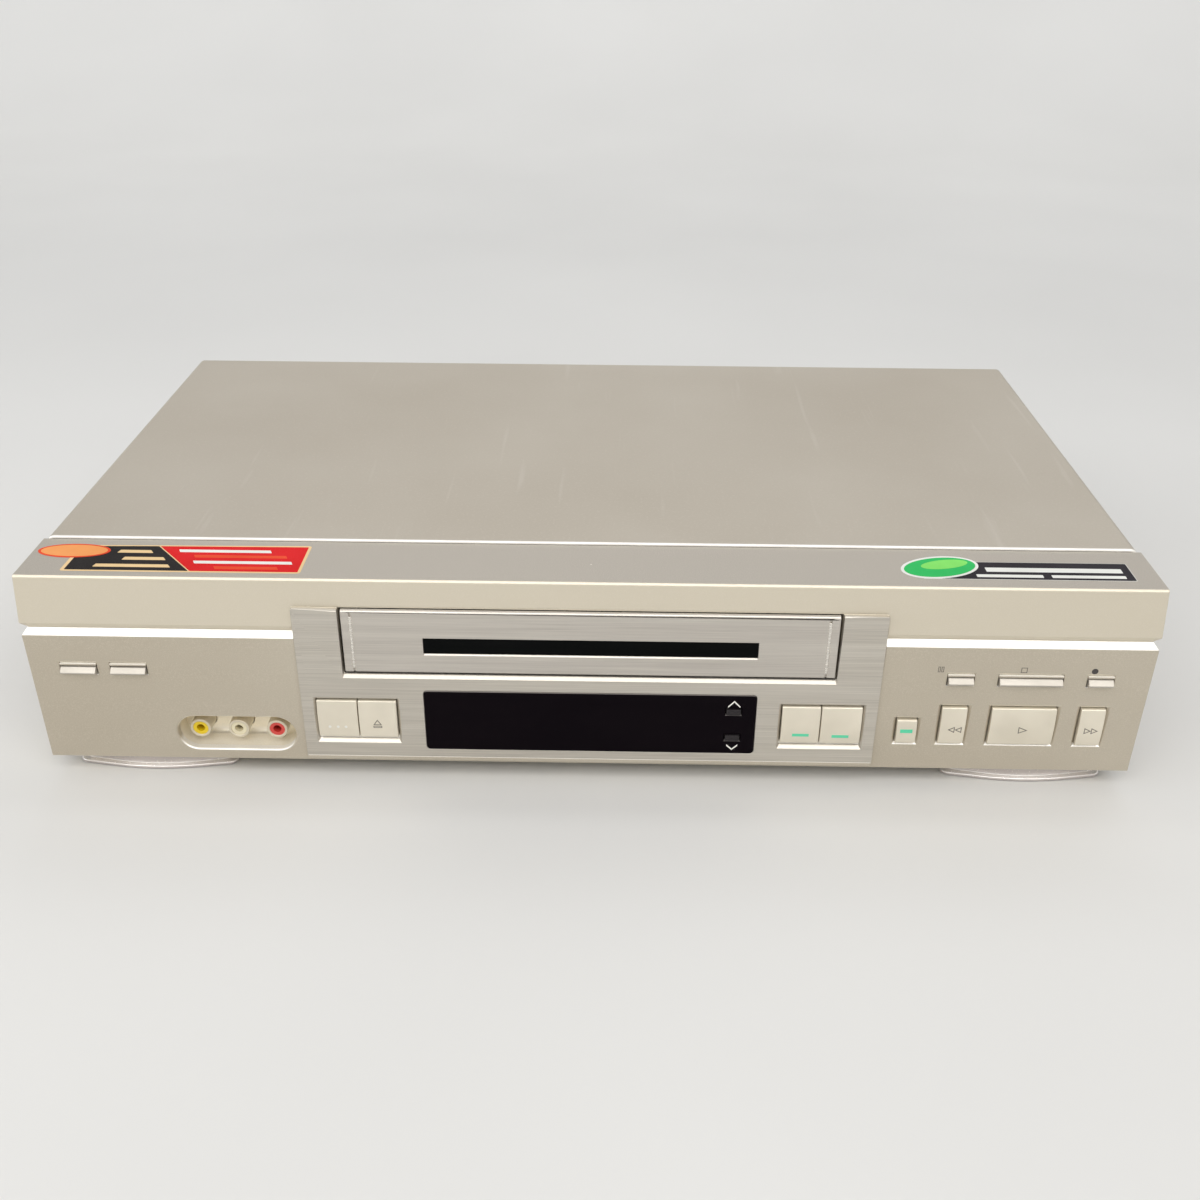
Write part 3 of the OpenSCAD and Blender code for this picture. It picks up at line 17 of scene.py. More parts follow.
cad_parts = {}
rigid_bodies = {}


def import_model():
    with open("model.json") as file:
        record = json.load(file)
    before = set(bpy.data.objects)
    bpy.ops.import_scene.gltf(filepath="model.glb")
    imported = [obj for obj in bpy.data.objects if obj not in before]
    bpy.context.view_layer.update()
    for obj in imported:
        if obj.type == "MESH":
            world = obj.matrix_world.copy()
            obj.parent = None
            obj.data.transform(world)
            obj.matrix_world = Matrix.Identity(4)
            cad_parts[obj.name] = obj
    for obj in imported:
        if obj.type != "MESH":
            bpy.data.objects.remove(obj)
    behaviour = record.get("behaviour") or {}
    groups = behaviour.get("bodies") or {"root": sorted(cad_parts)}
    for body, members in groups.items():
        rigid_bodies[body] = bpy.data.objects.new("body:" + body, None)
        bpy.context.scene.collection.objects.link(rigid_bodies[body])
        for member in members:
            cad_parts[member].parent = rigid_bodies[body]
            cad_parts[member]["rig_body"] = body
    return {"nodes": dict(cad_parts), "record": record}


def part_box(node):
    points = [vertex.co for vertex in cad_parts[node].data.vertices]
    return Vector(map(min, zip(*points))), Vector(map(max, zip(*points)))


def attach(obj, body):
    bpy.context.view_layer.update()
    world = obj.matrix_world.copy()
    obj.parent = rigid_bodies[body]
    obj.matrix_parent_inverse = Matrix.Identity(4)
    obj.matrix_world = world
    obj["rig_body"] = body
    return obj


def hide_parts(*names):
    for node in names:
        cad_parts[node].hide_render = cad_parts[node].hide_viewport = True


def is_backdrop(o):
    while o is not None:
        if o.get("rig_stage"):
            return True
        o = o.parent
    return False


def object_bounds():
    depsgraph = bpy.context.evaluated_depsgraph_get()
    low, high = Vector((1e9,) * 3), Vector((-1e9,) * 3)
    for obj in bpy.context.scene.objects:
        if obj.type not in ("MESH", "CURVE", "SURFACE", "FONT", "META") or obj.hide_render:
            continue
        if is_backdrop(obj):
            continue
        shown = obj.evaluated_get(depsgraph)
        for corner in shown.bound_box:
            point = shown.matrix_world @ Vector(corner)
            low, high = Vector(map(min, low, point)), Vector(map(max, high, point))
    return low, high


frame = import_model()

nodes = frame["nodes"]
cad_low, cad_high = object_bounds()
slot_of = {s["node"]: s["material_slot"] for s in frame["record"]["subparts"]}
print(len(nodes), "nodes, box", [round(1000 * v, 1) for v in (cad_high - cad_low)], "mm")

# %% [markdown]
# ## Measures
# Sizes read from the object are easier to follow in millimetres, while Blender works in metres.
# A few places are used again and again, so they get names here: the front edge of the moulding,
# the top of its lip and the front edge of the cover. The front edge isn't the foremost point of
# the moulding, because the foot of its panel leans 3.3 mm past it.

# %% Millimetres and the main places
MM = 0.001
panel_lean = 3.3
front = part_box("front_panel")[0].y / MM + panel_lean
lip_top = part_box("front_panel")[1].z / MM
cover_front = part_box("top_cover")[0].y / MM
print("front edge at y", round(front, 2), "lip top at z", round(lip_top, 2))

# %% [markdown]
# ## A finish to start from
# Every surface starts as one Principled shader. Colours are read off a screen from 0 to 255, and
# Blender wants linear light, so a small function converts them. What is even over the surface,
# such as how metallic it is, is set on the shader's own socket.

# %% Start a finish
finishes = {}


def screen_colour(red, green, blue):
    """A colour as it looks on a screen, from 0 to 255, in Blender's linear values."""
    shares = [v / 255 for v in (red, green, blue)]
    return tuple(v / 12.92 if v < 0.04 else ((v + 0.055) / 1.055) ** 2.4 for v in shares) + (1.0,)


def start_finish(name, colour, roughness, **gloss):
    """A material with one shader. Gloss holds other socket names, with _ for a space."""
    linear = screen_colour(*colour)
    material = bpy.data.materials.new(name)
    material.use_nodes = True
    tree = material.node_tree
    shader = tree.nodes["Principled BSDF"]
    shader.inputs["Base Color"].default_value = linear
    shader.inputs["Roughness"].default_value = roughness
    for socket, value in gloss.items():
        shader.inputs[socket.replace("_", " ")].default_value = value
    material.diffuse_color = linear
    finishes[name] = material
    return tree, shader


print("mid grey, 128 of 255, is", round(screen_colour(128, 128, 128)[0], 3), "in linear light")

# %% [markdown]
# ## Grain and tone
# Real surfaces vary: paint has a fine grain, foil has streaks, castings have broad clouds. Each
# is a noise texture on Object coordinates, which stay on the piece as it moves. A stretch below
# one along an axis draws the noise out into streaks along that axis. The noise then drives the
# colour through a ramp, and further layers such as dust are mixed over it.

# %% Helpers for noise and colour
def grain(tree, scale, stretch=(1, 1, 1), detail=3.0, shift=(0, 0, 0)):
    """Noise with so many features to the metre. A low stretch makes streaks along that axis."""
    place = tree.nodes.new("ShaderNodeTexCoord")
    mapping = tree.nodes.new("ShaderNodeMapping")
    mapping.inputs["Scale"].default_value = stretch
    mapping.inputs["Location"].default_value = shift
    noise = tree.nodes.new("ShaderNodeTexNoise")
    noise.inputs["Scale"].default_value = scale
    noise.inputs["Detail"].default_value = detail
    tree.links.new(place.outputs["Object"], mapping.inputs["Vector"])
    tree.links.new(mapping.outputs["Vector"], noise.inputs["Vector"])
    return noise.outputs["Fac"]


def tones(tree, shader, factor, stops):
    """Colours the surface by a factor. Stops are two (position, screen colour) pairs."""
    ramp = tree.nodes.new("ShaderNodeValToRGB")
    for element, (position, colour) in zip(ramp.color_ramp.elements, stops):
        element.position, element.color = position, screen_colour(*colour)
    tree.links.new(factor, ramp.inputs["Fac"])
    tree.links.new(ramp.outputs["Color"], shader.inputs["Base Color"])


def calculate(tree, operation, first, second):
    """A sum kept within 0 and 1. Each input is a number or the output of another node."""
    node = tree.nodes.new("ShaderNodeMath")
    node.operation = operation
    node.use_clamp = True
    for socket, value in zip(node.inputs, (first, second)):
        if isinstance(value, bpy.types.NodeSocket):
            tree.links.new(value, socket)
        else:
            socket.default_value = value
    return node.outputs[0]


def lay_over(tree, shader, factor, colour, strength=1.0):
    """Lays one more colour over what colours the surface so far, where the factor is high."""
    mix = tree.nodes.new("ShaderNodeMix")
    mix.data_type = "RGBA"
    base = shader.inputs["Base Color"]
    if base.links:
        tree.links.new(base.links[0].from_socket, mix.inputs[6])
    else:
        mix.inputs[6].default_value = base.default_value
    mix.inputs[7].default_value = screen_colour(*colour)
    tree.links.new(calculate(tree, "MULTIPLY", factor, strength), mix.inputs[0])
    tree.links.new(mix.outputs[2], base)


print("noise and colour ramps are ready")

# %% [markdown]
# ## Gloss and relief
# A noise alone only spans part of its range, so its useful part is spread first. It can then
# change the roughness, which shows as patches of shine, or lift a bump of a few microns.

# %% Helpers for gloss and relief
def stretch_range(tree, factor, low, high, start=0.3, end=0.7):
    """Spreads a factor's useful part over low to high."""
    spread = tree.nodes.new("ShaderNodeMapRange")
    ends = (("From Min", start), ("From Max", end), ("To Min", low), ("To Max", high))
    for socket, value in ends:
        spread.inputs[socket].default_value = value
    tree.links.new(factor, spread.inputs["Value"])
    return spread.outputs["Result"]


def roughen(tree, shader, factor, low, high):
    """Lets the roughness follow a factor."""
    tree.links.new(stretch_range(tree, factor, low, high), shader.inputs["Roughness"])


def dent(tree, shader, height, depth):
    """Adds relief of that depth in metres over any relief that the surface has already."""
    bump = tree.nodes.new("ShaderNodeBump")
    bump.inputs["Strength"].default_value = 1.0
    bump.inputs["Distance"].default_value = depth
    normal = shader.inputs["Normal"]
    if normal.links:
        tree.links.new(normal.links[0].from_socket, bump.inputs["Normal"])
    tree.links.new(height, bump.inputs["Height"])
    tree.links.new(bump.outputs["Normal"], normal)


print("roughness and bumps are ready")

# %% [markdown]
# ## Dust, places and slopes
# Dust is a pattern of small round spots. Some finishes also change with the place on the piece or
# with the way that the surface looks: a groove is brighter than a wall because its slope catches
# the lamp. Masks for these come from the Object coordinates and from the normal.

# %% Helpers for dust, places and slopes
def specks(tree, scale, size, share):
    """Small round spots: near the cell points of a Voronoi texture, and in only some cells."""
    place = tree.nodes.new("ShaderNodeTexCoord")
    cells = tree.nodes.new("ShaderNodeTexVoronoi")
    cells.inputs["Scale"].default_value = scale
    tree.links.new(place.outputs["Object"], cells.inputs["Vector"])
    near = calculate(tree, "LESS_THAN", cells.outputs["Distance"], size * scale)
    chosen = calculate(tree, "LESS_THAN", cells.outputs["Color"], share)
    return calculate(tree, "MULTIPLY", near, chosen)


def past(tree, axis, place, blend=0.0004):
    """One past a place on an axis, in metres in the shared frame, and zero before it."""
    coordinates = tree.nodes.new("ShaderNodeTexCoord")
    parts = tree.nodes.new("ShaderNodeSeparateXYZ")
    tree.links.new(coordinates.outputs["Object"], parts.inputs[0])
    return stretch_range(tree, parts.outputs[axis], 0, 1, place - blend, place + blend)


def before(tree, axis, place):
    """The reverse of past."""
    return stretch_range(tree, past(tree, axis, place), 1, 0, 0, 1)


def where_all(tree, *factors):
    """One only where all the factors are one."""
    joined = factors[0]
    for factor in factors[1:]:
        joined = calculate(tree, "MULTIPLY", joined, factor)
    return joined


def facing_up(tree, low, high):
    """From zero to one as the upward share of the normal goes from low to high."""
    place = tree.nodes.new("ShaderNodeTexCoord")
    parts = tree.nodes.new("ShaderNodeSeparateXYZ")
    tree.links.new(place.outputs["Normal"], parts.inputs[0])
    return stretch_range(tree, parts.outputs["Z"], 0, 1, low, high)


print("masks are ready")

# %% [markdown]
# ## Champagne paint on the moulding
# The front is a plastic moulding with satin champagne paint, in which metal flakes sparkle a
# little. Broad clouds shift the tone by a few steps, a grain finer than half a millimetre stands
# for the flakes, and dust sits on it as pale specks. Light and shade are also painted over this
# paint. The band above the groove is painted lighter than the panel below it, for the light that
# its upward lean catches, and the flat lip on top is painted greyer, as shade. The slopes of the
# groove and the sills under the keys get a painted highlight, faces that look down are painted
# lighter against their shade, and the pocket round the sockets is painted lighter to lift its
# shade, its floor most.

# %% Paint the moulded front
tree, shader = start_finish("champagne_paint", (200, 190, 168), 0.4, Metallic=0.5)
clouds = grain(tree, 14, detail=2)
tones(tree, shader, clouds, [(0.3, (190, 180, 162)), (0.7, (197, 188, 171))])
# painted highlight: slopes that look up and forward are painted near white, for the lamp that they
# mirror
lay_over(tree, shader, facing_up(tree, 0.3, 0.55), (253, 251, 246))
# painted light: faces that look down are painted lighter, to lift their shade
lay_over(tree, shader, facing_up(tree, -0.25, -0.5), (240, 234, 220))
# painted light: the pocket round the front sockets is painted lighter to lift its shade, and its
# floor, which looks up, lighter still
pocket_mouth, pocket_top, pocket_right = -0.1222, 0.031, -0.114
pocket = where_all(
    tree, past(tree, "Y", pocket_mouth), before(tree, "Z", pocket_top),
    before(tree, "X", pocket_right))
lay_over(tree, shader, pocket, (240, 229, 204))
lay_over(tree, shader, where_all(tree, pocket, facing_up(tree, -0.3, 1.1)), (253, 249, 238))
# painted light: the band above the groove is painted lighter, for the light that its upward lean
# catches
band_foot, lip_foot = 0.0687, 0.085
lay_over(tree, shader, past(tree, "Z", band_foot), (214, 205, 186))
# painted shade: the flat top of the lip is painted greyer than the rest of the same moulding
lip = where_all(tree, past(tree, "Z", lip_foot), facing_up(tree, 0.9, 0.98))
lay_over(tree, shader, lip, (175, 168, 158))
flakes = grain(tree, 2600, detail=1)
lay_over(tree, shader, stretch_range(tree, flakes, 0, 0.3, 0.45, 0.75), (228, 220, 206))
lay_over(tree, shader, specks(tree, 55, 0.00035, 0.22), (232, 228, 220), 0.7)
roughen(tree, shader, flakes, 0.36, 0.5)
dent(tree, shader, flakes, 0.00001)
print("paint of the front: clouds, flakes and specks")

# %% [markdown]
# ## Paint on the steel cover
# The cover is sheet steel in a greyer champagne with a slightly coarser orange-peel surface. Long,
# faint rubs run from front to back, where things were slid over it. A strip along its front fold
# is painted near white as a painted highlight, where the rounded edge mirrors the lamp.

# %% Paint the cover
tree, shader = start_finish("cover_paint", (186, 177, 165), 0.44, Metallic=0.45)
clouds = grain(tree, 9, detail=3)
tones(tree, shader, clouds, [(0.3, (178, 169, 155)), (0.7, (186, 178, 165))])
peel = grain(tree, 900, detail=2)
lay_over(tree, shader, stretch_range(tree, peel, 0, 0.3, 0.5, 0.8), (210, 203, 193))
rubs = grain(tree, 160, stretch=(1, 0.06, 1), detail=2)
lay_over(tree, shader, stretch_range(tree, rubs, 0, 0.3, 0.66, 0.8), (212, 206, 198))
lay_over(tree, shader, specks(tree, 48, 0.0004, 0.2), (226, 221, 212), 0.7)
# painted highlight: a strip along the cover's front fold is painted near white, for the lamp
# mirrored in its rounded edge
painted_highlight_depth = 0.6
lay_over(tree, shader, before(tree, "Y", (cover_front + painted_highlight_depth) * MM), (255, 253, 248))
roughen(tree, shader, peel, 0.4, 0.52)
dent(tree, shader, peel, 0.00002)
print("paint of the cover: clouds, peel, rubs and specks")

# %% [markdown]
# ## Brushed foil
# The bezel and the flap carry a silver foil, brushed from left to right. Two streak noises, one
# fine and one broad, are drawn out along X. They change tone and roughness, and the fine one is
# also a shallow relief.

# %% Brush the foil of the bezel and of the flap
def brushed(name, dark, light, fine, low, high):
    """Silver foil. Fine is how many hairs go to the metre, low and high are its roughness."""
    tree, shader = start_finish(name, light, (low + high) / 2, Metallic=0.7)
    hair = grain(tree, fine, stretch=(0.008, 1, 1), detail=4)
    tones(tree, shader, hair, [(0.32, dark), (0.68, light)])
    bands = grain(tree, 260, stretch=(0.015, 1, 1), detail=2, shift=(3, 0, 0))
    lay_over(tree, shader, stretch_range(tree, bands, 0, 0.4, 0.45, 0.75), (220, 215, 205))
    roughen(tree, shader, hair, low, high)
    dent(tree, shader, hair, 0.000012)


brushed("bezel_foil", (186, 180, 170), (206, 200, 189), 3200, 0.3, 0.44)
brushed("door_foil", (187, 181, 173), (205, 199, 190), 3800, 0.28, 0.4)
brushed("bead_foil", (214, 209, 200), (232, 228, 220), 3800, 0.22, 0.3)
print("three brushed foils")

# %% [markdown]
# ## Small mouldings
# Keys, sockets, collars and feet are small mouldings. They share one recipe: a tone that drifts a
# little, a fine satin grain, and a gloss that differs from piece to piece. The plated feet get a
# painted highlight, near white, on their rims, which look up.

# %% Mould the keys, sockets and feet
def moulded(name, colour, roughness, drift=6, grain_scale=1800, **gloss):
    """Satin plastic or paint. Drift is how far its tone strays each way, in screen steps."""
    tree, shader = start_finish(name, colour, roughness, **gloss)
    clouds = grain(tree, 60, detail=2)
    darker = [max(0, c - drift) for c in colour]
    lighter = [min(255, c + drift) for c in colour]
    tones(tree, shader, clouds, [(0.3, darker), (0.7, lighter)])
    fine = grain(tree, grain_scale, detail=2)
    roughen(tree, shader, fine, roughness * 0.85, min(1.0, roughness * 1.15))
    dent(tree, shader, fine, 0.000008)
    return tree, shader


moulded("key_paint", (230, 222, 204), 0.36, Metallic=0.4)
moulded("window_key_plastic", (34, 30, 32), 0.3, Specular_IOR_Level=0.3)
moulded("bar_paint", (190, 184, 174), 0.36, Metallic=0.4)
tree, shader = moulded("foot_silver", (212, 204, 200), 0.24, Metallic=0.45)
# painted highlight: the rims of the feet, which look up, are painted near white
lay_over(tree, shader, facing_up(tree, 0.25, 0.6), (252, 249, 247))
moulded("foot_rubber", (34, 33, 33), 0.8, 4, 900)
moulded("cream_plastic", (216, 206, 184), 0.36, Metallic=0.35)
moulded("yellow_plastic", (236, 204, 24), 0.34, Coat_Weight=0.15)
moulded("white_plastic", (228, 218, 186), 0.34, Coat_Weight=0.15)
moulded("red_plastic", (214, 70, 62), 0.34, Coat_Weight=0.15)
moulded("black_plastic", (36, 36, 38), 0.45, 4)
moulded("acetal", (226, 226, 220), 0.4, 5)
moulded("board_phenolic", (158, 130, 82), 0.55, 10)
moulded("board_epoxy", (44, 96, 60), 0.42, 8)
moulded("black_rubber", (30, 30, 31), 0.7, 4, 900)
print(len(finishes), "finishes so far")

# %% [markdown]
# ## Coded rings at the back
# The rings in the sockets at the back show what each one carries: yellow on top for the picture,
# white and red below it for the two sound channels. The six rings are one node with three rows, so
# the tone changes with the height, at a third and at two thirds of the node's box.

# %% Tell the rows of rings apart
rings_low, rings_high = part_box("rear_jack_rings")
tree, shader = moulded("ring_plastic", (236, 204, 24), 0.34, Coat_Weight=0.15)
row = (rings_high.z - rings_low.z) / 3
lay_over(tree, shader, before(tree, "Z", rings_low.z + 2 * row), (228, 218, 186))
lay_over(tree, shader, before(tree, "Z", rings_low.z + row), (214, 70, 62))
print("rows of rings", round(row / MM, 1), "mm apart")

# %% [markdown]
# ## Parts on the boards
# Each board and its parts are one node. What stands above the board's face, 1.9 mm over the foot
# of the node, is a part: sleeves of capacitors and chips are dark, the heat sink and the shield
# can are bare metal, and yellow tape is wound round the transformer. Masks from the place on the
# board tell them apart. Where a mask takes in the whole board, it starts just outside one side and
# ends beyond the other.

# %% Colour the parts on the two large boards
board_face = 1.9


def part_area(tree, node, left, right, near, far):
    """One over an area of a node, in mm from its right and front sides, above the board's face."""
    low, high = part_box(node)
    return where_all(
        tree, past(tree, "Z", low.z + board_face * MM),
        past(tree, "X", high.x - left * MM), before(tree, "X", high.x - right * MM),
        past(tree, "Y", low.y + near * MM), before(tree, "Y", low.y + far * MM))


outside, beyond = -1, 400
for finish, node, colour, areas in (
    ("mains_board", "power_board", (158, 130, 82), [
        ((56, 54, 60), beyond, outside, outside, beyond),
        ((186, 188, 190), beyond, outside, outside, 28),
        ((206, 176, 84), 46, 8, 60, 106)]),
    ("signal_board", "main_board", (44, 96, 60), [
        ((46, 46, 50), beyond, outside, outside, beyond),
        ((190, 191, 192), 81, 17, 28, 74)]),
):
    tree, shader = moulded(finish, colour, 0.45, 8)
    for tone, *area in areas:
        lay_over(tree, shader, part_area(tree, node, *area), tone)
    print(finish, "has", len(areas), "kinds of parts")

# %% [markdown]
# ## Glossy black
# The display window is smoked plastic, black with a little purple, and as glossy as glass. Only
# faint wiping marks break its shine. The strip in the flap is the same kind of black. The upper
# edge of each gets a painted highlight, a grey fine line where the rounded edge mirrors the lamp.

# %% Polish the window and the strip
for name, dark, light in (
    ("window_black", (9, 4, 9), (13, 7, 12)),
    ("strip_black", (5, 7, 7), (10, 11, 11)),
):
    tree, shader = start_finish(name, dark, 0.1, Specular_IOR_Level=0.05)
    wiping = grain(tree, 70, stretch=(0.3, 1, 1), detail=4)
    tones(tree, shader, wiping, [(0.35, dark), (0.7, light)])
    roughen(tree, shader, wiping, 0.07, 0.16)
    # painted highlight: the upper edge of the window and of the strip, which looks up, is painted
    # grey
    lay_over(tree, shader, facing_up(tree, 0.5, 0.8), (136, 130, 126))
print("window and strip")

# %% [markdown]
# ## Bare metals
# Inside and at the back there is zinc-plated sheet, tinned screens, turned aluminium, ground
# shafts and brass. Plated sheet shows crystals of a few millimetres, which a Voronoi texture
# draws. Turned and ground metal shows fine rings or streaks.

# %% Plate, turn and grind the metals
def plated(name, colour, roughness, crystal):
    """Plated sheet. Crystal is how many crystals go to the metre."""
    tree, shader = start_finish(name, colour, roughness, Metallic=0.85)
    place = tree.nodes.new("ShaderNodeTexCoord")
    cells = tree.nodes.new("ShaderNodeTexVoronoi")
    cells.inputs["Scale"].default_value = crystal
    tree.links.new(place.outputs["Object"], cells.inputs["Vector"])
    shade = tree.nodes.new("ShaderNodeSeparateColor")
    tree.links.new(cells.outputs["Color"], shade.inputs["Color"])
    darker = [c - 12 for c in colour]
    lighter = [min(255, c + 10) for c in colour]
    tones(tree, shader, shade.outputs["Red"], [(0.1, darker), (0.9, lighter)])
    stains = grain(tree, 45, detail=4)
    lay_over(tree, shader, stretch_range(tree, stains, 0, 0.4, 0.55, 0.8), (120, 116, 108))
    roughen(tree, shader, stains, roughness * 0.8, roughness * 1.2)
    dent(tree, shader, grain(tree, 1400, detail=2), 0.000008)


def turned(name, colour, roughness, stretch):
    """Turned or ground metal. A low stretch draws its marks out along that axis."""
    tree, shader = start_finish(name, colour, roughness, Metallic=0.95)
    rings = grain(tree, 1800, stretch=stretch, detail=3)
    darker = [c - 14 for c in colour]
    lighter = [min(255, c + 10) for c in colour]
    tones(tree, shader, rings, [(0.3, darker), (0.7, lighter)])
    roughen(tree, shader, rings, roughness * 0.7, roughness * 1.3)
    dent(tree, shader, rings, 0.000006)


plated("zinc_sheet", (176, 178, 180), 0.38, 260)
plated("tinned_sheet", (190, 191, 192), 0.32, 190)
turned("turned_aluminium", (204, 204, 204), 0.22, (1, 1, 0.1))
turned("ground_steel", (184, 186, 190), 0.2, (1, 1, 0.1))
turned("turned_brass", (214, 184, 112), 0.25, (1, 0.2, 1))
turned("screw_steel", (176, 176, 178), 0.32, (0.2, 1, 1))

tree, shader = start_finish("rear_paint", (86, 86, 88), 0.5, Metallic=0.3)
hammered = grain(tree, 700, detail=3)
tones(tree, shader, hammered, [(0.3, (78, 78, 80)), (0.7, (95, 95, 97))])
roughen(tree, shader, hammered, 0.42, 0.6)
dent(tree, shader, hammered, 0.00003)
print(len(finishes), "finishes in all")

# %% [markdown]
# ## Finishes on the nodes
# The record names a material slot for every node. A table from slot to finish dresses them all in
# one pass, the hidden ones too, because the deck shows when the flap is open.

# %% Dress every node by its slot
finish_of_slot = {
    "cover": "cover_paint", "panel": "champagne_paint", "band_bezel": "bezel_foil",
    "door": "door_foil", "dark_trim": "strip_black", "window": "window_black",
    "key": "key_paint", "window_key": "window_key_plastic", "foot": "foot_silver",
    "rear_foot": "foot_rubber", "tray": "zinc_sheet", "rear_panel": "rear_paint",
    "socket_cream": "cream_plastic", "socket_yellow": "yellow_plastic",
    "socket_white": "white_plastic", "socket_red": "red_plastic",
    "socket_black": "black_plastic", "tin": "tinned_sheet", "board_tan": "board_phenolic",
    "board_green": "board_epoxy", "deck_steel": "zinc_sheet", "white_plastic": "acetal",
    "drum_metal": "turned_aluminium", "shaft_steel": "ground_steel",
    "black_rubber": "black_rubber", "brass": "turned_brass", "screw": "screw_steel",
}
bars = ("pause_key", "stop_key", "record_key", "quick_timer_key", "timer_switch_key")
special_finish = {
    "rear_jack_rings": "ring_plastic", "power_board": "mains_board", "main_board": "signal_board",
    **{name: "bar_paint" for name in bars},
}


def finish_of(name):
    """The finish of a node: its own, as for the bar keys, or that of its slot."""
    return finishes[special_finish.get(name) or finish_of_slot[slot_of[name]]]


for name, node in nodes.items():
    node.data.materials.clear()
    node.data.materials.append(finish_of(name))
print(len(finish_of_slot), "slots dressed")

# %% [markdown]
# ## From a drawing to a piece
# Every new piece is drawn as a bmesh, a mesh that operators can change freely. Its edges are
# bevelled to a round profile, and the drawing then becomes an object with one finish. Both steps
# come back for each piece, so they are two small functions.

# %% Helpers that bevel a drawing and make a piece of it
def round_off(bm, geom, radius, segments, affect="EDGES"):
    """Bevels edges, or the corners of a flat face, to a round profile."""
    bmesh.ops.bevel(
        bm, geom=geom, offset=radius, offset_type="OFFSET", segments=segments, profile=0.5,
        affect=affect, material=-1, clamp_overlap=False)


def piece_from(bm, name, finish, smooth=False):
    """Makes a mesh, drawn in metres by now, a piece of the scene."""
    for face in bm.faces:
        face.smooth = smooth
    mesh = bpy.data.meshes.new(name)
    bm.to_mesh(mesh)
    bm.free()
    mesh.materials.append(finish)
    piece = bpy.data.objects.new(name, mesh)
    bpy.context.scene.collection.objects.link(piece)
    return piece


print("drawings can be bevelled and made pieces")

# %% [markdown]
# ## Rounded edges
# A solid's edges are sharp, and a sharp edge never shines. The real edges have radii of 0.2 to
# 0.6 mm that draw bright lines along the front. A copy of the node's mesh is merged, its flat
# triangles are dissolved into whole faces, and the edges that show are bevelled. A weighted
# normal modifier then keeps the flat faces flat.

# %% Helper that makes a rounded copy of a node
def bevel_edges(bm, radius, segments, sharp, pick):
    """Bevels the edges sharper than so many degrees that pick takes by their two ends in mm."""
    chosen = [
        e for e in bm.edges
        if len(e.link_faces) == 2
        and math.degrees(e.calc_face_angle(0)) > sharp
        and (pick is None or pick(e.verts[0].co / MM, e.verts[1].co / MM))
    ]
    round_off(bm, chosen, radius * MM, segments)
    return len(chosen)


def rounded(name, *passes, sharp=28):
    """Replaces a node by a copy with bevelled edges. Each pass is (radius, segments, pick)."""
    bm = bmesh.new()
    bm.from_mesh(nodes[name].data)
    bmesh.ops.remove_doubles(bm, verts=bm.verts, dist=0.03 * MM)
    bmesh.ops.dissolve_limit(bm, angle_limit=math.radians(0.4), verts=bm.verts, edges=bm.edges)
    counts = [bevel_edges(bm, radius, segments, sharp, pick) for radius, segments, pick in passes]
    bmesh.ops.recalc_face_normals(bm, faces=bm.faces)
    piece = piece_from(bm, name + "_rounded", finish_of(name), smooth=True)
    piece.data.set_sharp_from_angle(angle=math.radians(35))
    weighted = piece.modifiers.new("flat_faces", "WEIGHTED_NORMAL")
    weighted.keep_sharp = True
    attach(piece, nodes[name]["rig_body"])
    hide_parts(name)
    print(name, counts, "edges rounded,", len(piece.data.polygons), "faces")
    return piece


print("edges can be rounded")

# %% [markdown]
# ## The moulded front
# Only its outside edges are rounded: what faces the room lies in front of the wall, at the two
# ends, or on top. The hidden ribs and bosses inside stay as they are.

# %% Round the outside of the front
face_depth = 0.7
rim_left, rim_right, rim_foot, rim_top = -163.5, -114.5, 12.5, 30


def rim_of_recess(a, b):
    """The rim of the pocket round the front sockets."""
    return all(
        v.y < front + face_depth and rim_left < v.x < rim_right and rim_foot < v.z < rim_top
        for v in (a, b))


def on_the_outside(a, b):
    """The front face of the moulding and its two ends."""
    side = cad_high.x / MM - 0.1
    ends = abs(a.x) > side and abs(b.x) > side
    return ends or (a.y < front + face_depth and b.y < front + face_depth)


pieces = {
    "front_panel": rounded("front_panel", (1.0, 4, rim_of_recess), (0.25, 3, on_the_outside)),
}

# %% [markdown]
# ## Cover, bezel, flap and window
# The cover's front edge is a sheared sheet with a small burr radius. The bezel and the flap are
# foil over plastic. The bezel's top edge is bent over in a wide radius that mirrors the lamp as a
# white line, while its other edges and those of the flap are tighter. The window has a polished
# edge.

# %% Round the large pieces
def near_face(a, b):
    """Edges that show from the front."""
    return a.y < front + 2 and b.y < front + 2


cover_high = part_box("top_cover")[1] / MM


def cover_edge(a, b):
    """The outer line of the cover's front edge, over the top and down both sides."""
    corner = 3
    for v in (a, b):
        over = v.z - (cover_high.z - corner)
        aside = abs(v.x) - (cover_high.x - corner)
        reach = math.hypot(max(over, 0), max(aside, 0))
        if v.y > cover_front + 0.1 or reach < corner - 0.5:
            return False
    return True


bezel_low, bezel_high = (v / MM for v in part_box("center_bezel"))
door_low, door_high = (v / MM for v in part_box("cassette_door"))


def bezel_top(a, b):
    """The upper edge of the bezel, on both sides of the slot."""
    return all(v.z > bezel_high.z - 0.1 and v.y < bezel_low.y + 0.1 for v in (a, b))


def slot_sill(a, b):
    """The two edges of the slope below the cassette slot."""
    foot, top, depth, shortest = door_low.z - 3.4, door_low.z - 1, front + 1.2, 100
    level = all(foot < v.z < top and v.y < depth for v in (a, b))
    return level and abs(a.x - b.x) > shortest


def rest_of_bezel(a, b):
    """The edges of the bezel's face that get the tight radius."""
    return near_face(a, b) and not bezel_top(a, b) and not slot_sill(a, b)


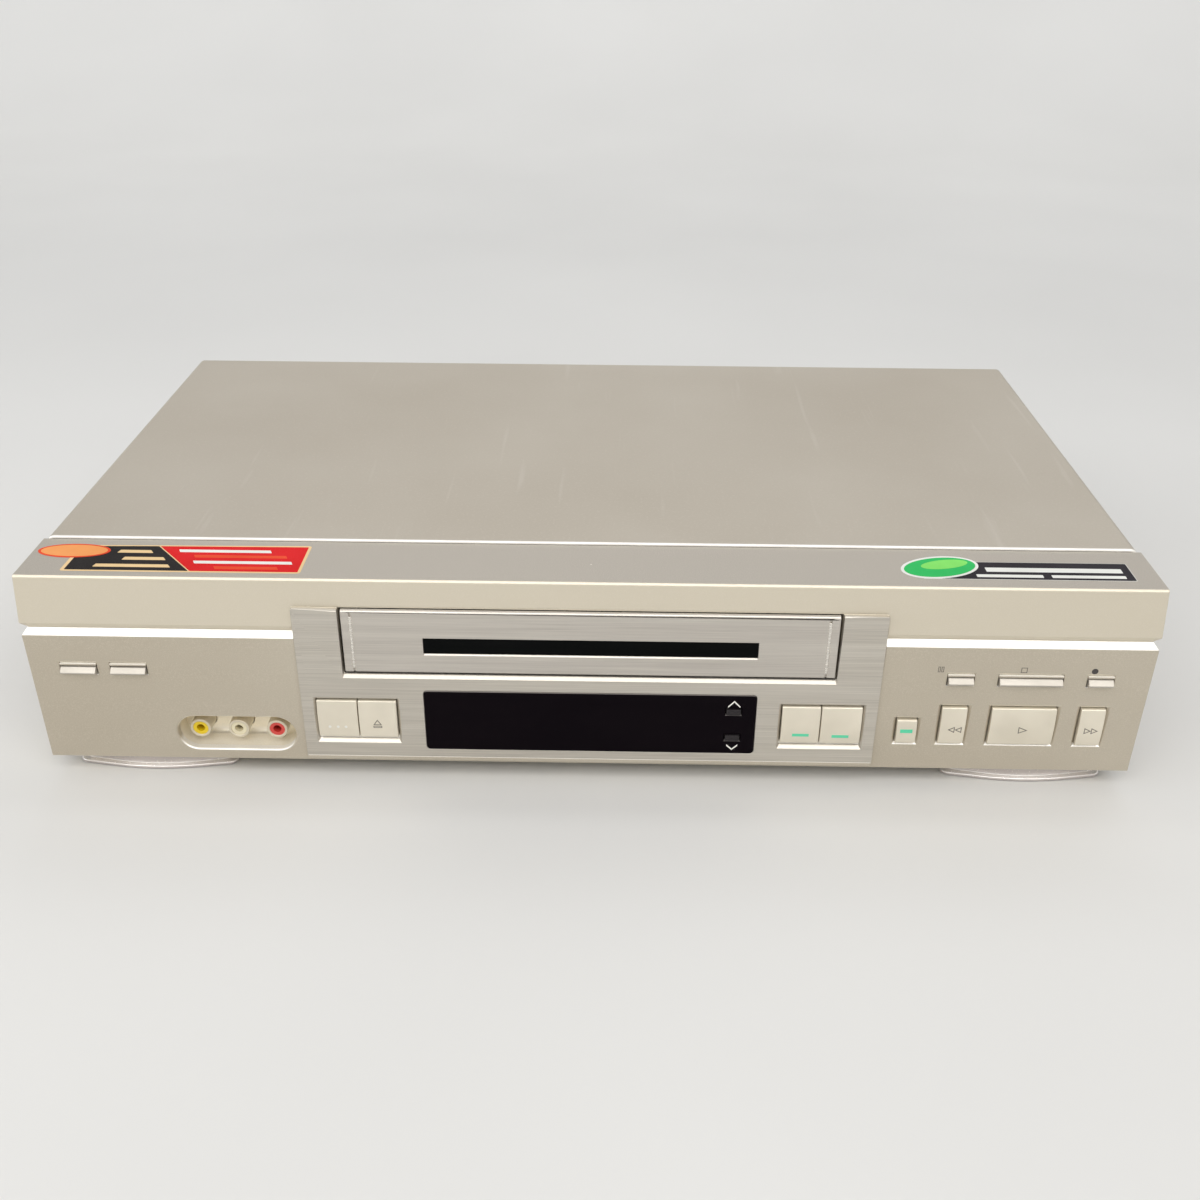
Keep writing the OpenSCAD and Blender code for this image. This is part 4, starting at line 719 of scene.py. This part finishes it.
pieces["top_cover"] = rounded("top_cover", (0.7, 4, cover_edge))
pieces["center_bezel"] = rounded(
    "center_bezel", (0.25, 3, rest_of_bezel), (1.2, 5, bezel_top), (0.55, 4, slot_sill))
pieces["cassette_door"] = rounded("cassette_door", (0.25, 3, near_face))
pieces["display_window"] = rounded("display_window", (0.4, 3, near_face))

# %% [markdown]
# ## Beads of the flap
# Near each end of the flap stands a fine upright bead, a half-round ridge polished brighter than
# the foil. It is a thin cylinder, flattened and sunk in the flap by half, with rounded ends.

# %% Raise the two beads of the flap
bead_radius, bead_length, bead_middle = 0.6, 22.6, 64.8
for name, x in (("door_bead_left", -89.4), ("door_bead_right", 90.8)):
    bm = bmesh.new()
    bmesh.ops.create_cone(
        bm, cap_ends=True, segments=20, radius1=bead_radius, radius2=bead_radius,
        depth=bead_length)
    ends = [e for e in bm.edges if e.calc_face_angle(0) > 1]
    round_off(bm, ends, 0.45, 4)
    bmesh.ops.scale(bm, verts=bm.verts, vec=(1, 0.6, 1))
    bmesh.ops.translate(bm, verts=bm.verts, vec=(x, door_low.y + 0.02, bead_middle))
    bmesh.ops.scale(bm, verts=bm.verts, vec=(MM, MM, MM))
    bead = piece_from(bm, name, finishes["bead_foil"], smooth=True)
    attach(bead, nodes["cassette_door"]["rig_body"])
print("two beads on a flap from z", round(door_low.z, 1), "to", round(door_high.z, 1))

# %% [markdown]
# ## Fine rails
# On the photograph the seams over the flap and over the bar keys are narrower than the play that
# these parts have here, so a fine rail under the roof of each slot narrows them. Another rail runs
# along the foot of the bezel, where the photograph has a bright line over a strip of paint. Each
# is a cube drawn out in length.

# %% Lay the rails
def rail(name, low, high, radius):
    """A fine bar between two corners, with rounded edges, in the paint of the front."""
    bm = bmesh.new()
    bmesh.ops.create_cube(bm, size=1)
    bmesh.ops.scale(bm, verts=bm.verts, vec=high - low)
    bmesh.ops.translate(bm, verts=bm.verts, vec=(low + high) / 2)
    round_off(bm, bm.edges[:], radius, 2)
    bmesh.ops.scale(bm, verts=bm.verts, vec=(MM, MM, MM))
    bar = piece_from(bm, name, finishes["champagne_paint"])
    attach(bar, nodes["front_panel"]["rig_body"])


roof = bezel_high.z + 0.1
rail("slot_rail", Vector((door_low.x, front - 1.72, roof - 0.45)),
     Vector((door_high.x, front - 0.4, roof + 0.05)), 0.08)
rail("foot_rail", Vector((bezel_low.x + 0.3, bezel_low.y - 0.15, bezel_low.z - 0.6)),
     Vector((bezel_high.x - 0.3, bezel_low.y + 2.2, bezel_low.z + 0.9)), 0.2)
for name in bars:
    low, high = (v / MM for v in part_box(name))
    rail(name.replace("_key", "_rail"), Vector((low.x - 0.35, front - 3.3, high.z + 0.45)),
         Vector((high.x + 0.35, front - 1.4, high.z + 1.4)), 0.28)
print("rails laid over the flap, over", len(bars), "bar keys and under the bezel")

# %% [markdown]
# ## Keys, feet and sockets
# A block key has a crowned face. Its top edge is a soft radius of 0.6 mm that shows as a white
# line, and its other edges are tighter. The bar keys are wedges with a narrow nose. The feet and
# the socket collars get a radius all round.

# %% Round the small pieces
wall_face = front - 0.5


def top_edge_of(name):
    """A test for the upper edge of a key's face."""
    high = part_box(name)[1].z / MM
    return lambda a, b: all(v.z > high - 0.2 and v.y < wall_face for v in (a, b))


def in_front(a, b):
    """The part of a key that stands in front of the wall."""
    return a.y < wall_face and b.y < wall_face


key_names = [n for n in nodes if n.endswith("_key")]
for name in key_names:
    if slot_of[name] == "key" and name not in bars:
        pieces[name] = rounded(name, (0.6, 4, top_edge_of(name)), (0.3, 3, in_front))
    else:
        pieces[name] = rounded(name, (0.2, 2, in_front))
for name, radius in (
    ("front_foot_left", 0.6), ("front_foot_right", 0.6), ("front_jack_holder", 0.42),
):
    pieces[name] = rounded(name, (radius, 3, None), sharp=40)
print(len(pieces), "rounded pieces")

# %% [markdown]
# ## Marks printed on the surface
# A printed mark is a film of ink. It is drawn flat as a small mesh, and each of its points is
# then dropped on the piece that carries it with a ray, so that it follows the crown of a key. It
# is sunk by a fiftieth of a millimetre, stands a few hundredths proud, and rides on the body that
# it is printed on. The ray starts 20 mm off, well outside the recorder.

# %% Inks and the helper that prints a mark
for name, colour, roughness in (
    ("ink_grey", (112, 106, 98), 0.5), ("ink_dark", (66, 62, 60), 0.5),
    ("ink_white", (240, 238, 230), 0.4), ("ink_green", (96, 218, 172), 0.35),
    ("ink_pale", (150, 140, 148), 0.4),
):
    moulded(name, colour, roughness, 5)


def only(kind, geom):
    """The points, or the edges, among what an operator gives back."""
    return [g for g in geom if isinstance(g, kind)]


def print_mark(bm, name, carrier, ink, along=(0, 1, 0), thick=0.05):
    """Drops a flat mesh, drawn in the row frame in mm, on its carrier along that direction."""
    way = Vector(along)
    run_up, sunk_by = 0.02, 0.02
    target = pieces.get(carrier) or nodes[carrier]
    surface = BVHTree.FromPolygons(
        [v.co for v in target.data.vertices], [p.vertices for p in target.data.polygons])
    drawn = bmesh.ops.extrude_face_region(bm, geom=bm.faces[:])
    sunk = set(only(bmesh.types.BMVert, drawn["geom"]))
    for v in bm.verts:
        start = v.co * MM - way * run_up
        hit = surface.ray_cast(start, way)[0]
        v.co = hit + way * MM * (sunk_by if v in sunk else -thick)
    bmesh.ops.recalc_face_normals(bm, faces=bm.faces)
    piece = piece_from(bm, name, finishes[ink])
    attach(piece, nodes[carrier]["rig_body"])


print("inks mixed,", len(finishes), "finishes in all")

# %% [markdown]
# ## Shapes of the marks
# All signs on such a front come from a few shapes: a triangle, a bar, a dot, and their outlines.
# A circle with three, four or more corners gives each of them, and an inset turns a filled shape
# into an outline. The two chevrons in the window are bent lines, drawn out to the width of a
# stroke.

# %% Helpers that draw a shape
standoff = 6


def turn_by(bm, degrees, axis):
    """Turns a shape about the origin."""
    turn = Matrix.Rotation(math.radians(degrees), 3, axis)
    bmesh.ops.rotate(bm, verts=bm.verts, cent=(0, 0, 0), matrix=turn)


def outline(bm, stroke):
    """Leaves only the rim of a filled shape, as wide as the stroke."""
    rim = bmesh.ops.inset_region(
        bm, faces=bm.faces[:], thickness=stroke, use_even_offset=True, use_boundary=True)
    middle = [f for f in bm.faces if f not in rim["faces"]]
    bmesh.ops.delete(bm, geom=middle, context="FACES")


def stand_up(bm, x, depth, turn):
    """Turns a shape drawn flat in mm, stands it up before the front and sets its middle."""
    turn_by(bm, turn, "Z")
    turn_by(bm, 90, "X")
    bmesh.ops.translate(bm, verts=bm.verts, vec=(x, front - standoff, lip_top - depth))
    return bm


def sign(corners, x, depth, wide, high, turn=0, stroke=0):
    """A shape so far below the top edge: corners 3 is a triangle, 4 a bar, more a dot."""
    bm = bmesh.new()
    bmesh.ops.create_circle(bm, cap_ends=True, segments=corners, radius=1)
    if corners == 4:
        turn_by(bm, 45, "Z")
    low = [min(v.co[i] for v in bm.verts) for i in (0, 1)]
    size = [max(v.co[i] for v in bm.verts) - low[i] for i in (0, 1)]
    bmesh.ops.translate(bm, verts=bm.verts, vec=(-low[0] - size[0] / 2, -low[1] - size[1] / 2, 0))
    bmesh.ops.scale(bm, verts=bm.verts, vec=(wide / size[0], high / size[1], 1))
    if stroke:
        outline(bm, stroke)
    return stand_up(bm, x, depth, turn)


def chevron(x, depth, wide, high, turn):
    """Two strokes that meet in a tip: a bent line, extruded downwards by the stroke's height."""
    stroke = 0.75
    bm = bmesh.new()
    tips = ((-wide / 2, -high / 2, 0), (0, high / 2, 0), (wide / 2, -high / 2, 0))
    corners = [bm.verts.new(tip) for tip in tips]
    line = [bm.edges.new(corners[i:i + 2]) for i in (0, 1)]
    drawn = bmesh.ops.extrude_edge_only(bm, edges=line)
    bmesh.ops.translate(bm, verts=only(bmesh.types.BMVert, drawn["geom"]), vec=(0, -stroke, 0))
    return stand_up(bm, x, depth, turn)


print("triangles, bars, dots and chevrons can be drawn")

# %% [markdown]
# ## Signs in their places
# The middle, width and height of each sign were measured on the photograph, through the camera of
# this scene. Its place across is counted from the middle of the front, and its depth from the top
# of the lip downwards.

# %% Place the shapes
marks = [
    # name, carrier, ink, corners, x, depth below the top, wide, high, turn, stroke
    ("rewind_mark_1", "rewind_key", "ink_grey", 3, 141.9, 61.3, 2.8, 2.7, 90, 0.32),
    ("rewind_mark_2", "rewind_key", "ink_grey", 3, 144.6, 61.3, 2.8, 2.7, 90, 0.32),
    ("play_mark", "play_key", "ink_grey", 3, 169.8, 61.1, 3.1, 3.6, -90, 0.32),
    ("forward_mark_1", "fast_forward_key", "ink_grey", 3, 194.9, 61.0, 2.8, 2.7, -90, 0.32),
    ("forward_mark_2", "fast_forward_key", "ink_grey", 3, 197.6, 61.0, 2.8, 2.7, -90, 0.32),
    ("eject_mark_1", "eject_key", "ink_grey", 3, -82.2, 60.7, 3.4, 2.5, 0, 0.32),
    ("eject_mark_2", "eject_key", "ink_grey", 4, -82.2, 62.8, 3.4, 0.9, 0, 0.28),
    ("power_dot_1", "power_key", "ink_white", 16, -101.0, 63.0, 1.15, 1.15, 0, 0),
    ("power_dot_2", "power_key", "ink_white", 16, -97.8, 63.0, 1.15, 1.15, 0, 0),
    ("power_dot_3", "power_key", "ink_white", 16, -94.7, 63.0, 1.15, 1.15, 0, 0),
    ("start_bar", "timer_start_key", "ink_green", 4, 83.2, 63.9, 6.5, 1.3, 0, 0),
    ("end_bar", "timer_end_key", "ink_green", 4, 98.7, 64.3, 6.6, 1.3, 0, 0),
    ("back_bar", "timer_back_key", "ink_green", 4, 124.6, 62.3, 4.8, 1.6, 0, 0),
    ("pause_mark_1", "front_panel", "ink_grey", 4, 133.8, 33.8, 0.95, 2.5, 0, 0.26),
    ("pause_mark_2", "front_panel", "ink_grey", 4, 135.1, 33.8, 0.95, 2.5, 0, 0.26),
    ("stop_mark", "front_panel", "ink_grey", 4, 166.0, 33.7, 2.4, 2.4, 0, 0.28),
    ("record_mark", "front_panel", "ink_dark", 20, 192.8, 33.8, 2.5, 2.5, 0, 0),
]
for name, carrier, ink, corners, x, depth, wide, high, turn, stroke in marks:
    print_mark(sign(corners, x, depth, wide, high, turn, stroke), name, carrier, ink)
print_mark(chevron(56.7, 49.8, 4.7, 2.5, 0), "channel_up_mark", "display_window", "ink_white")
print_mark(chevron(56.7, 70.7, 4.3, 2.0, 180), "channel_down_mark", "display_window", "ink_white")
print(len(marks) + 2, "marks printed")

# %% [markdown]
# ## Lines on the back
# Thin pale lines on the rear panel frame the groups of sockets. Each frame is a rectangle with
# rounded corners, inset by the width of the line, and it is dropped on the panel from behind.

# %% Frame the sockets at the back
def rear_frame(name, low, high, margin, stroke=0.35):
    """A frame round a box, given by its two corners in mm, on the rear panel."""
    bm = bmesh.new()
    bmesh.ops.create_grid(bm, x_segments=1, y_segments=1, size=0.5)
    bmesh.ops.scale(
        bm, verts=bm.verts, vec=(high.x - low.x + 2 * margin, high.z - low.z + 2 * margin, 1))
    round_off(bm, bm.verts[:], 2, 5, "VERTICES")
    outline(bm, stroke)
    turn_by(bm, 90, "X")
    middle_x, middle_z = (low.x + high.x) / 2, (low.z + high.z) / 2
    bmesh.ops.translate(bm, verts=bm.verts, vec=(middle_x, rear_face + standoff, middle_z))
    print_mark(bm, name, "rear_panel", "ink_pale", (0, -1, 0), 0.04)


rear_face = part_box("rear_panel")[1].y / MM
rear_frame("socket_frame", rings_low / MM, rings_high / MM, 5.5)
aerial_low, aerial_high = (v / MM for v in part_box("tuner_box"))
rear_frame("aerial_frame", aerial_low, aerial_high, -3)
print("two frames on the back at y", round(rear_face, 1))

# %% [markdown]
# ## Stickers on the lip
# Two paper stickers lie on the lip. Both are generic designs of slanted fields, bars and rounded
# shapes. Each field is a few corner points made into a face, its corners rounded, laid on the lip
# with a ray from above. Fields lie in layers, each a few hundredths of a millimetre over the one
# below, counted from the lip.

# %% Paper colours and the helper that lays a field
for name, colour in (
    ("paper_cream", (232, 200, 150)), ("paper_black", (30, 26, 26)),
    ("paper_red", (214, 22, 26)), ("paper_gold", (238, 158, 92)),
    ("paper_orange", (226, 74, 40)), ("paper_white", (232, 232, 226)),
    ("paper_green", (48, 186, 96)), ("paper_leaf", (132, 222, 104)),
    ("paper_grey", (40, 36, 42)),
):
    moulded(name, colour, 0.45, 5, Specular_IOR_Level=0.08)


drawn_at = lip_top + 3


def lay_paper(bm, name, paper, layer):
    """Drops a paper shape on the lip, in its layer."""
    print_mark(bm, name, "front_panel", paper, (0, 0, -1), 0.03 + 0.03 * layer)


def field(name, paper, corners, layer, soft=0.4):
    """A flat field with rounded corners. Corners are x and the distance behind the front edge."""
    bm = bmesh.new()
    bm.faces.new([bm.verts.new((x, front + back, drawn_at)) for x, back in corners])
    round_off(bm, bm.verts[:], soft, 4, "VERTICES")
    lay_paper(bm, name, paper, layer)


def paper_bar(name, paper, x0, x1, back, half, lean=(0, 0)):
    """A bar on a field, from x0 to x1. Lean is how far its two rear corners are shifted."""
    corners = [(x0, back - half), (x1, back - half)]
    corners += [(x1 + lean[1], back + half), (x0 + lean[0], back + half)]
    field(name, paper, corners, 2, 0.3)


def oval(name, paper, x, back, wide, deep, layer, turn=0):
    """An oval field, turned by some degrees."""
    bm = bmesh.new()
    bmesh.ops.create_circle(bm, cap_ends=True, segments=40, radius=1)
    bmesh.ops.scale(bm, verts=bm.verts, vec=(wide / 2, deep / 2, 1))
    turn_by(bm, turn, "Z")
    bmesh.ops.translate(bm, verts=bm.verts, vec=(x, front + back, drawn_at))
    lay_paper(bm, name, paper, layer)


print("paper colours mixed,", len(finishes), "finishes in all")

# %% [markdown]
# ## The left sticker
# A cream border holds a black field and a red field, whose joint is slanted. Slanted bars fill
# both fields, and an orange oval overlaps the left end.

# %% Lay the left sticker
for name, paper, corners, layer, soft in (
    ("left_border", "paper_cream", [(-198.9, 4.2), (-108.2, 4.2), (-108.2, 27), (-198.2, 25.6)],
     0, 1.2),
    ("left_black", "paper_black", [(-197.4, 5.2), (-150.6, 5.2), (-167.6, 25.3), (-196.8, 24.6)],
     1, 0.4),
    ("left_red", "paper_red", [(-150.0, 5.2), (-109.3, 5.2), (-109.3, 25.9), (-167.0, 25.3)],
     1, 0.4),
):
    field(name, paper, corners, layer, soft)
for i, (x0, x1, back) in enumerate([
    (-182, -168, 20.6), (-178.5, -161.5, 14.8), (-187.6, -158, 8.9),
]):
    paper_bar(f"left_black_bar_{i}", "paper_cream", x0, x1, back, 1.2, (0.6, -1.6))
for i, (x0, x1, back, paper) in enumerate([
    (-158, -122.5, 21.6, "paper_white"), (-151, -115.5, 17.2, "paper_orange"),
    (-150, -112.5, 12.4, "paper_white"), (-141, -117, 8, "paper_orange"),
]):
    paper_bar(f"left_red_bar_{i}", paper, x0, x1, back, 1.1, (-1, -1))
oval("left_oval_rim", "paper_orange", -199, 20.6, 28, 11.4, 3)
oval("left_oval", "paper_gold", -199, 20.6, 25.8, 9.6, 4)
print("left sticker laid")

# %% [markdown]
# ## The right sticker
# A dark band with a white rim carries a few white bars. A green pebble with a lighter spot lies
# over its left end, tilted by a few degrees.

# %% Lay the right sticker
field(
    "right_border", "paper_white",
    [(125.4, 6.8), (205.4, 6.8), (205.4, 20.9), (142, 20.9)], 0, 0.5)
field("right_band", "paper_grey", [(126, 7), (205.2, 7), (205.2, 20.7), (142.3, 20.7)], 1)
for i, (x0, x1, back, half) in enumerate([
    (150.5, 202, 14.6, 1.7), (146, 171, 9.6, 1.1), (174.2, 202, 9.6, 1.1),
]):
    paper_bar(f"right_bar_{i}", "paper_white", x0, x1, back, half)
oval("right_pebble_rim", "paper_white", 133.4, 16, 31, 17.4, 3, 14)
oval("right_pebble", "paper_green", 133.4, 16, 28.6, 15, 4, 14)
oval("right_pebble_light", "paper_leaf", 135.6, 18.3, 19, 7, 5, 14)
print("right sticker laid")

# %% [markdown]
# ## The floor
# The recorder stands on a plain pale sweep, a floor that bends up into a wall, so that no horizon
# shows. The sweep is one edge, pulled out over the floor, spun up round the bend and pulled on up
# the wall. Far from the lamps the paper glows a little, so that it stays as pale as near them.

# %% Lay the floor
half_width, bend_start, bend_radius, wall_height = 4, 1.2, 0.8, 1.6
just_below = -0.0003
bm = bmesh.new()
ends = [bm.verts.new((x, -half_width, just_below)) for x in (-half_width, half_width)]
edge = bm.edges.new(ends)
flat = bmesh.ops.extrude_edge_only(bm, edges=[edge])["geom"]
bmesh.ops.translate(
    bm, verts=only(bmesh.types.BMVert, flat), vec=(0, bend_start + half_width, 0))
bend = bmesh.ops.spin(
    bm, geom=only(bmesh.types.BMEdge, flat), cent=(0, bend_start, bend_radius), axis=(1, 0, 0),
    angle=math.pi / 2, steps=16, use_duplicate=False)
wall = bmesh.ops.extrude_edge_only(bm, edges=only(bmesh.types.BMEdge, bend["geom_last"]))["geom"]
bmesh.ops.translate(bm, verts=only(bmesh.types.BMVert, wall), vec=(0, 0, wall_height))
bmesh.ops.recalc_face_normals(bm, faces=bm.faces)
if bm.faces[0].normal.z < 0:
    bmesh.ops.reverse_faces(bm, faces=bm.faces)

tree, shader = start_finish("floor_paper", (222, 221, 218), 0.85)
paper_tones = [(0.3, (220, 219, 216)), (0.7, (225, 224, 221))]
tones(tree, shader, grain(tree, 3, detail=2), paper_tones)
place = tree.nodes.new("ShaderNodeTexCoord")
reach = tree.nodes.new("ShaderNodeVectorMath")
reach.operation = "LENGTH"
tree.links.new(place.outputs["Object"], reach.inputs[0])
glow = stretch_range(tree, reach.outputs["Value"], 0, 0.3, 0.8, 2.2)
tree.links.new(glow, shader.inputs["Emission Strength"])
shader.inputs["Emission Color"].default_value = screen_colour(222, 221, 218)
floor = piece_from(bm, "studio_floor", finishes["floor_paper"], smooth=True)
floor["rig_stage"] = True
print("floor with", len(floor.data.polygons), "faces")

# %% [markdown]
# ## The light
# One long lamp hangs in front and above. Its height is chosen for the slopes at 45 degrees: seen
# from the camera they mirror this lamp, which draws the bright lines along the front. A weaker lamp
# fills from the left, a strip behind gives the cover its sheen, and one more lights the wall. The
# world gives even light, and shows pale to the camera and to reflections.

# %% Hang the lamps and set the world
def lamp(name, place, aim, wide, deep, power, tint=(1, 1, 1)):
    """A rectangular lamp at a place, turned to face its aim."""
    data = bpy.data.lights.new(name, "AREA")
    data.shape = "RECTANGLE"
    data.size, data.size_y, data.energy, data.color = wide, deep, power, tint
    light = bpy.data.objects.new(name, data)
    light.location = place
    light.rotation_euler = (Vector(aim) - Vector(place)).to_track_quat("-Z", "Y").to_euler()
    bpy.context.scene.collection.objects.link(light)


lamp("lamp_front", (0, -1.06, 1.19), (0, -0.12, 0.05), 2.4, 0.7, 17, (1.0, 0.98, 0.95))
lamp("lamp_left", (-1.6, -0.5, 0.9), (0, 0, 0.05), 0.9, 0.9, 5, (0.95, 0.97, 1.0))
lamp("lamp_back", (0.3, 1.0, 1.5), (0, 0, 0.08), 2.0, 0.5, 4.2, (0.97, 0.98, 1.0))
lamp("lamp_wall", (0, 0.4, 2.0), (0, 2.0, 0.3), 3.0, 0.5, 8)

world = bpy.data.worlds.new("studio")
bpy.context.scene.world = world
world.use_nodes = True
tree = world.node_tree
light = tree.nodes["Background"]
light.inputs["Color"].default_value = (0.86, 0.88, 0.92, 1)
light.inputs["Strength"].default_value = 0.43
pale = tree.nodes.new("ShaderNodeBackground")
pale.inputs["Color"].default_value = screen_colour(226, 226, 224)
path = tree.nodes.new("ShaderNodeLightPath").outputs
seen = calculate(tree, "ADD", path["Is Camera Ray"], path["Is Glossy Ray"])
through = calculate(tree, "ADD", seen, path["Is Transmission Ray"])
either = tree.nodes.new("ShaderNodeMixShader")
tree.links.new(through, either.inputs[0])
tree.links.new(light.outputs[0], either.inputs[1])
tree.links.new(pale.outputs[0], either.inputs[2])
tree.links.new(either.outputs[0], tree.nodes["World Output"].inputs["Surface"])
bpy.context.scene.view_settings.view_transform = "Standard"
print("four lamps and a pale world")

# %% [markdown]
# ## The camera
# The photograph was taken from in front and above, a little to the right of the middle. The pitch,
# yaw, roll, place and focal length come from matching edges of known length, so the render can be
# laid over the photograph.

# %% Place the camera
pitch, yaw, roll = (math.radians(v) for v in (29.14, -0.70, -0.42))
camera_place = (0.00961, -0.54766, 0.31926)
focal_pixels, photo_pixels, sensor_width = 1300, 1200, 36
ahead = Vector((math.sin(yaw) * math.cos(pitch), math.cos(yaw) * math.cos(pitch), -math.sin(pitch)))
level_right = Vector((math.cos(yaw), -math.sin(yaw), 0))
level_down = ahead.cross(level_right)
right = math.cos(roll) * level_right + math.sin(roll) * level_down
down = math.cos(roll) * level_down - math.sin(roll) * level_right
camera_data = bpy.data.cameras.new("camera")
camera_data.sensor_width = sensor_width
camera_data.lens = sensor_width * focal_pixels / photo_pixels
camera_data.clip_start = 0.02
camera = bpy.data.objects.new("camera", camera_data)
bpy.context.scene.collection.objects.link(camera)
turn = Matrix((right, -down, -ahead)).transposed().to_4x4()
camera.matrix_world = Matrix.Translation(camera_place) @ turn
bpy.context.scene.camera = camera
print("camera", [round(v, 3) for v in camera.matrix_world.translation])

# %% [markdown]
# ## Sizes at the end
# The dressed recorder is measured again, and the last line prints how far its box grew past the
# box of the imported model on each side, in millimetres.

# %% Compare the boxes at the end
new_low, new_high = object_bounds()
grown = [[round(v / MM, 3) for v in side] for side in (cad_low - new_low, new_high - cad_high)]
print("grew by", *grown, "mm")
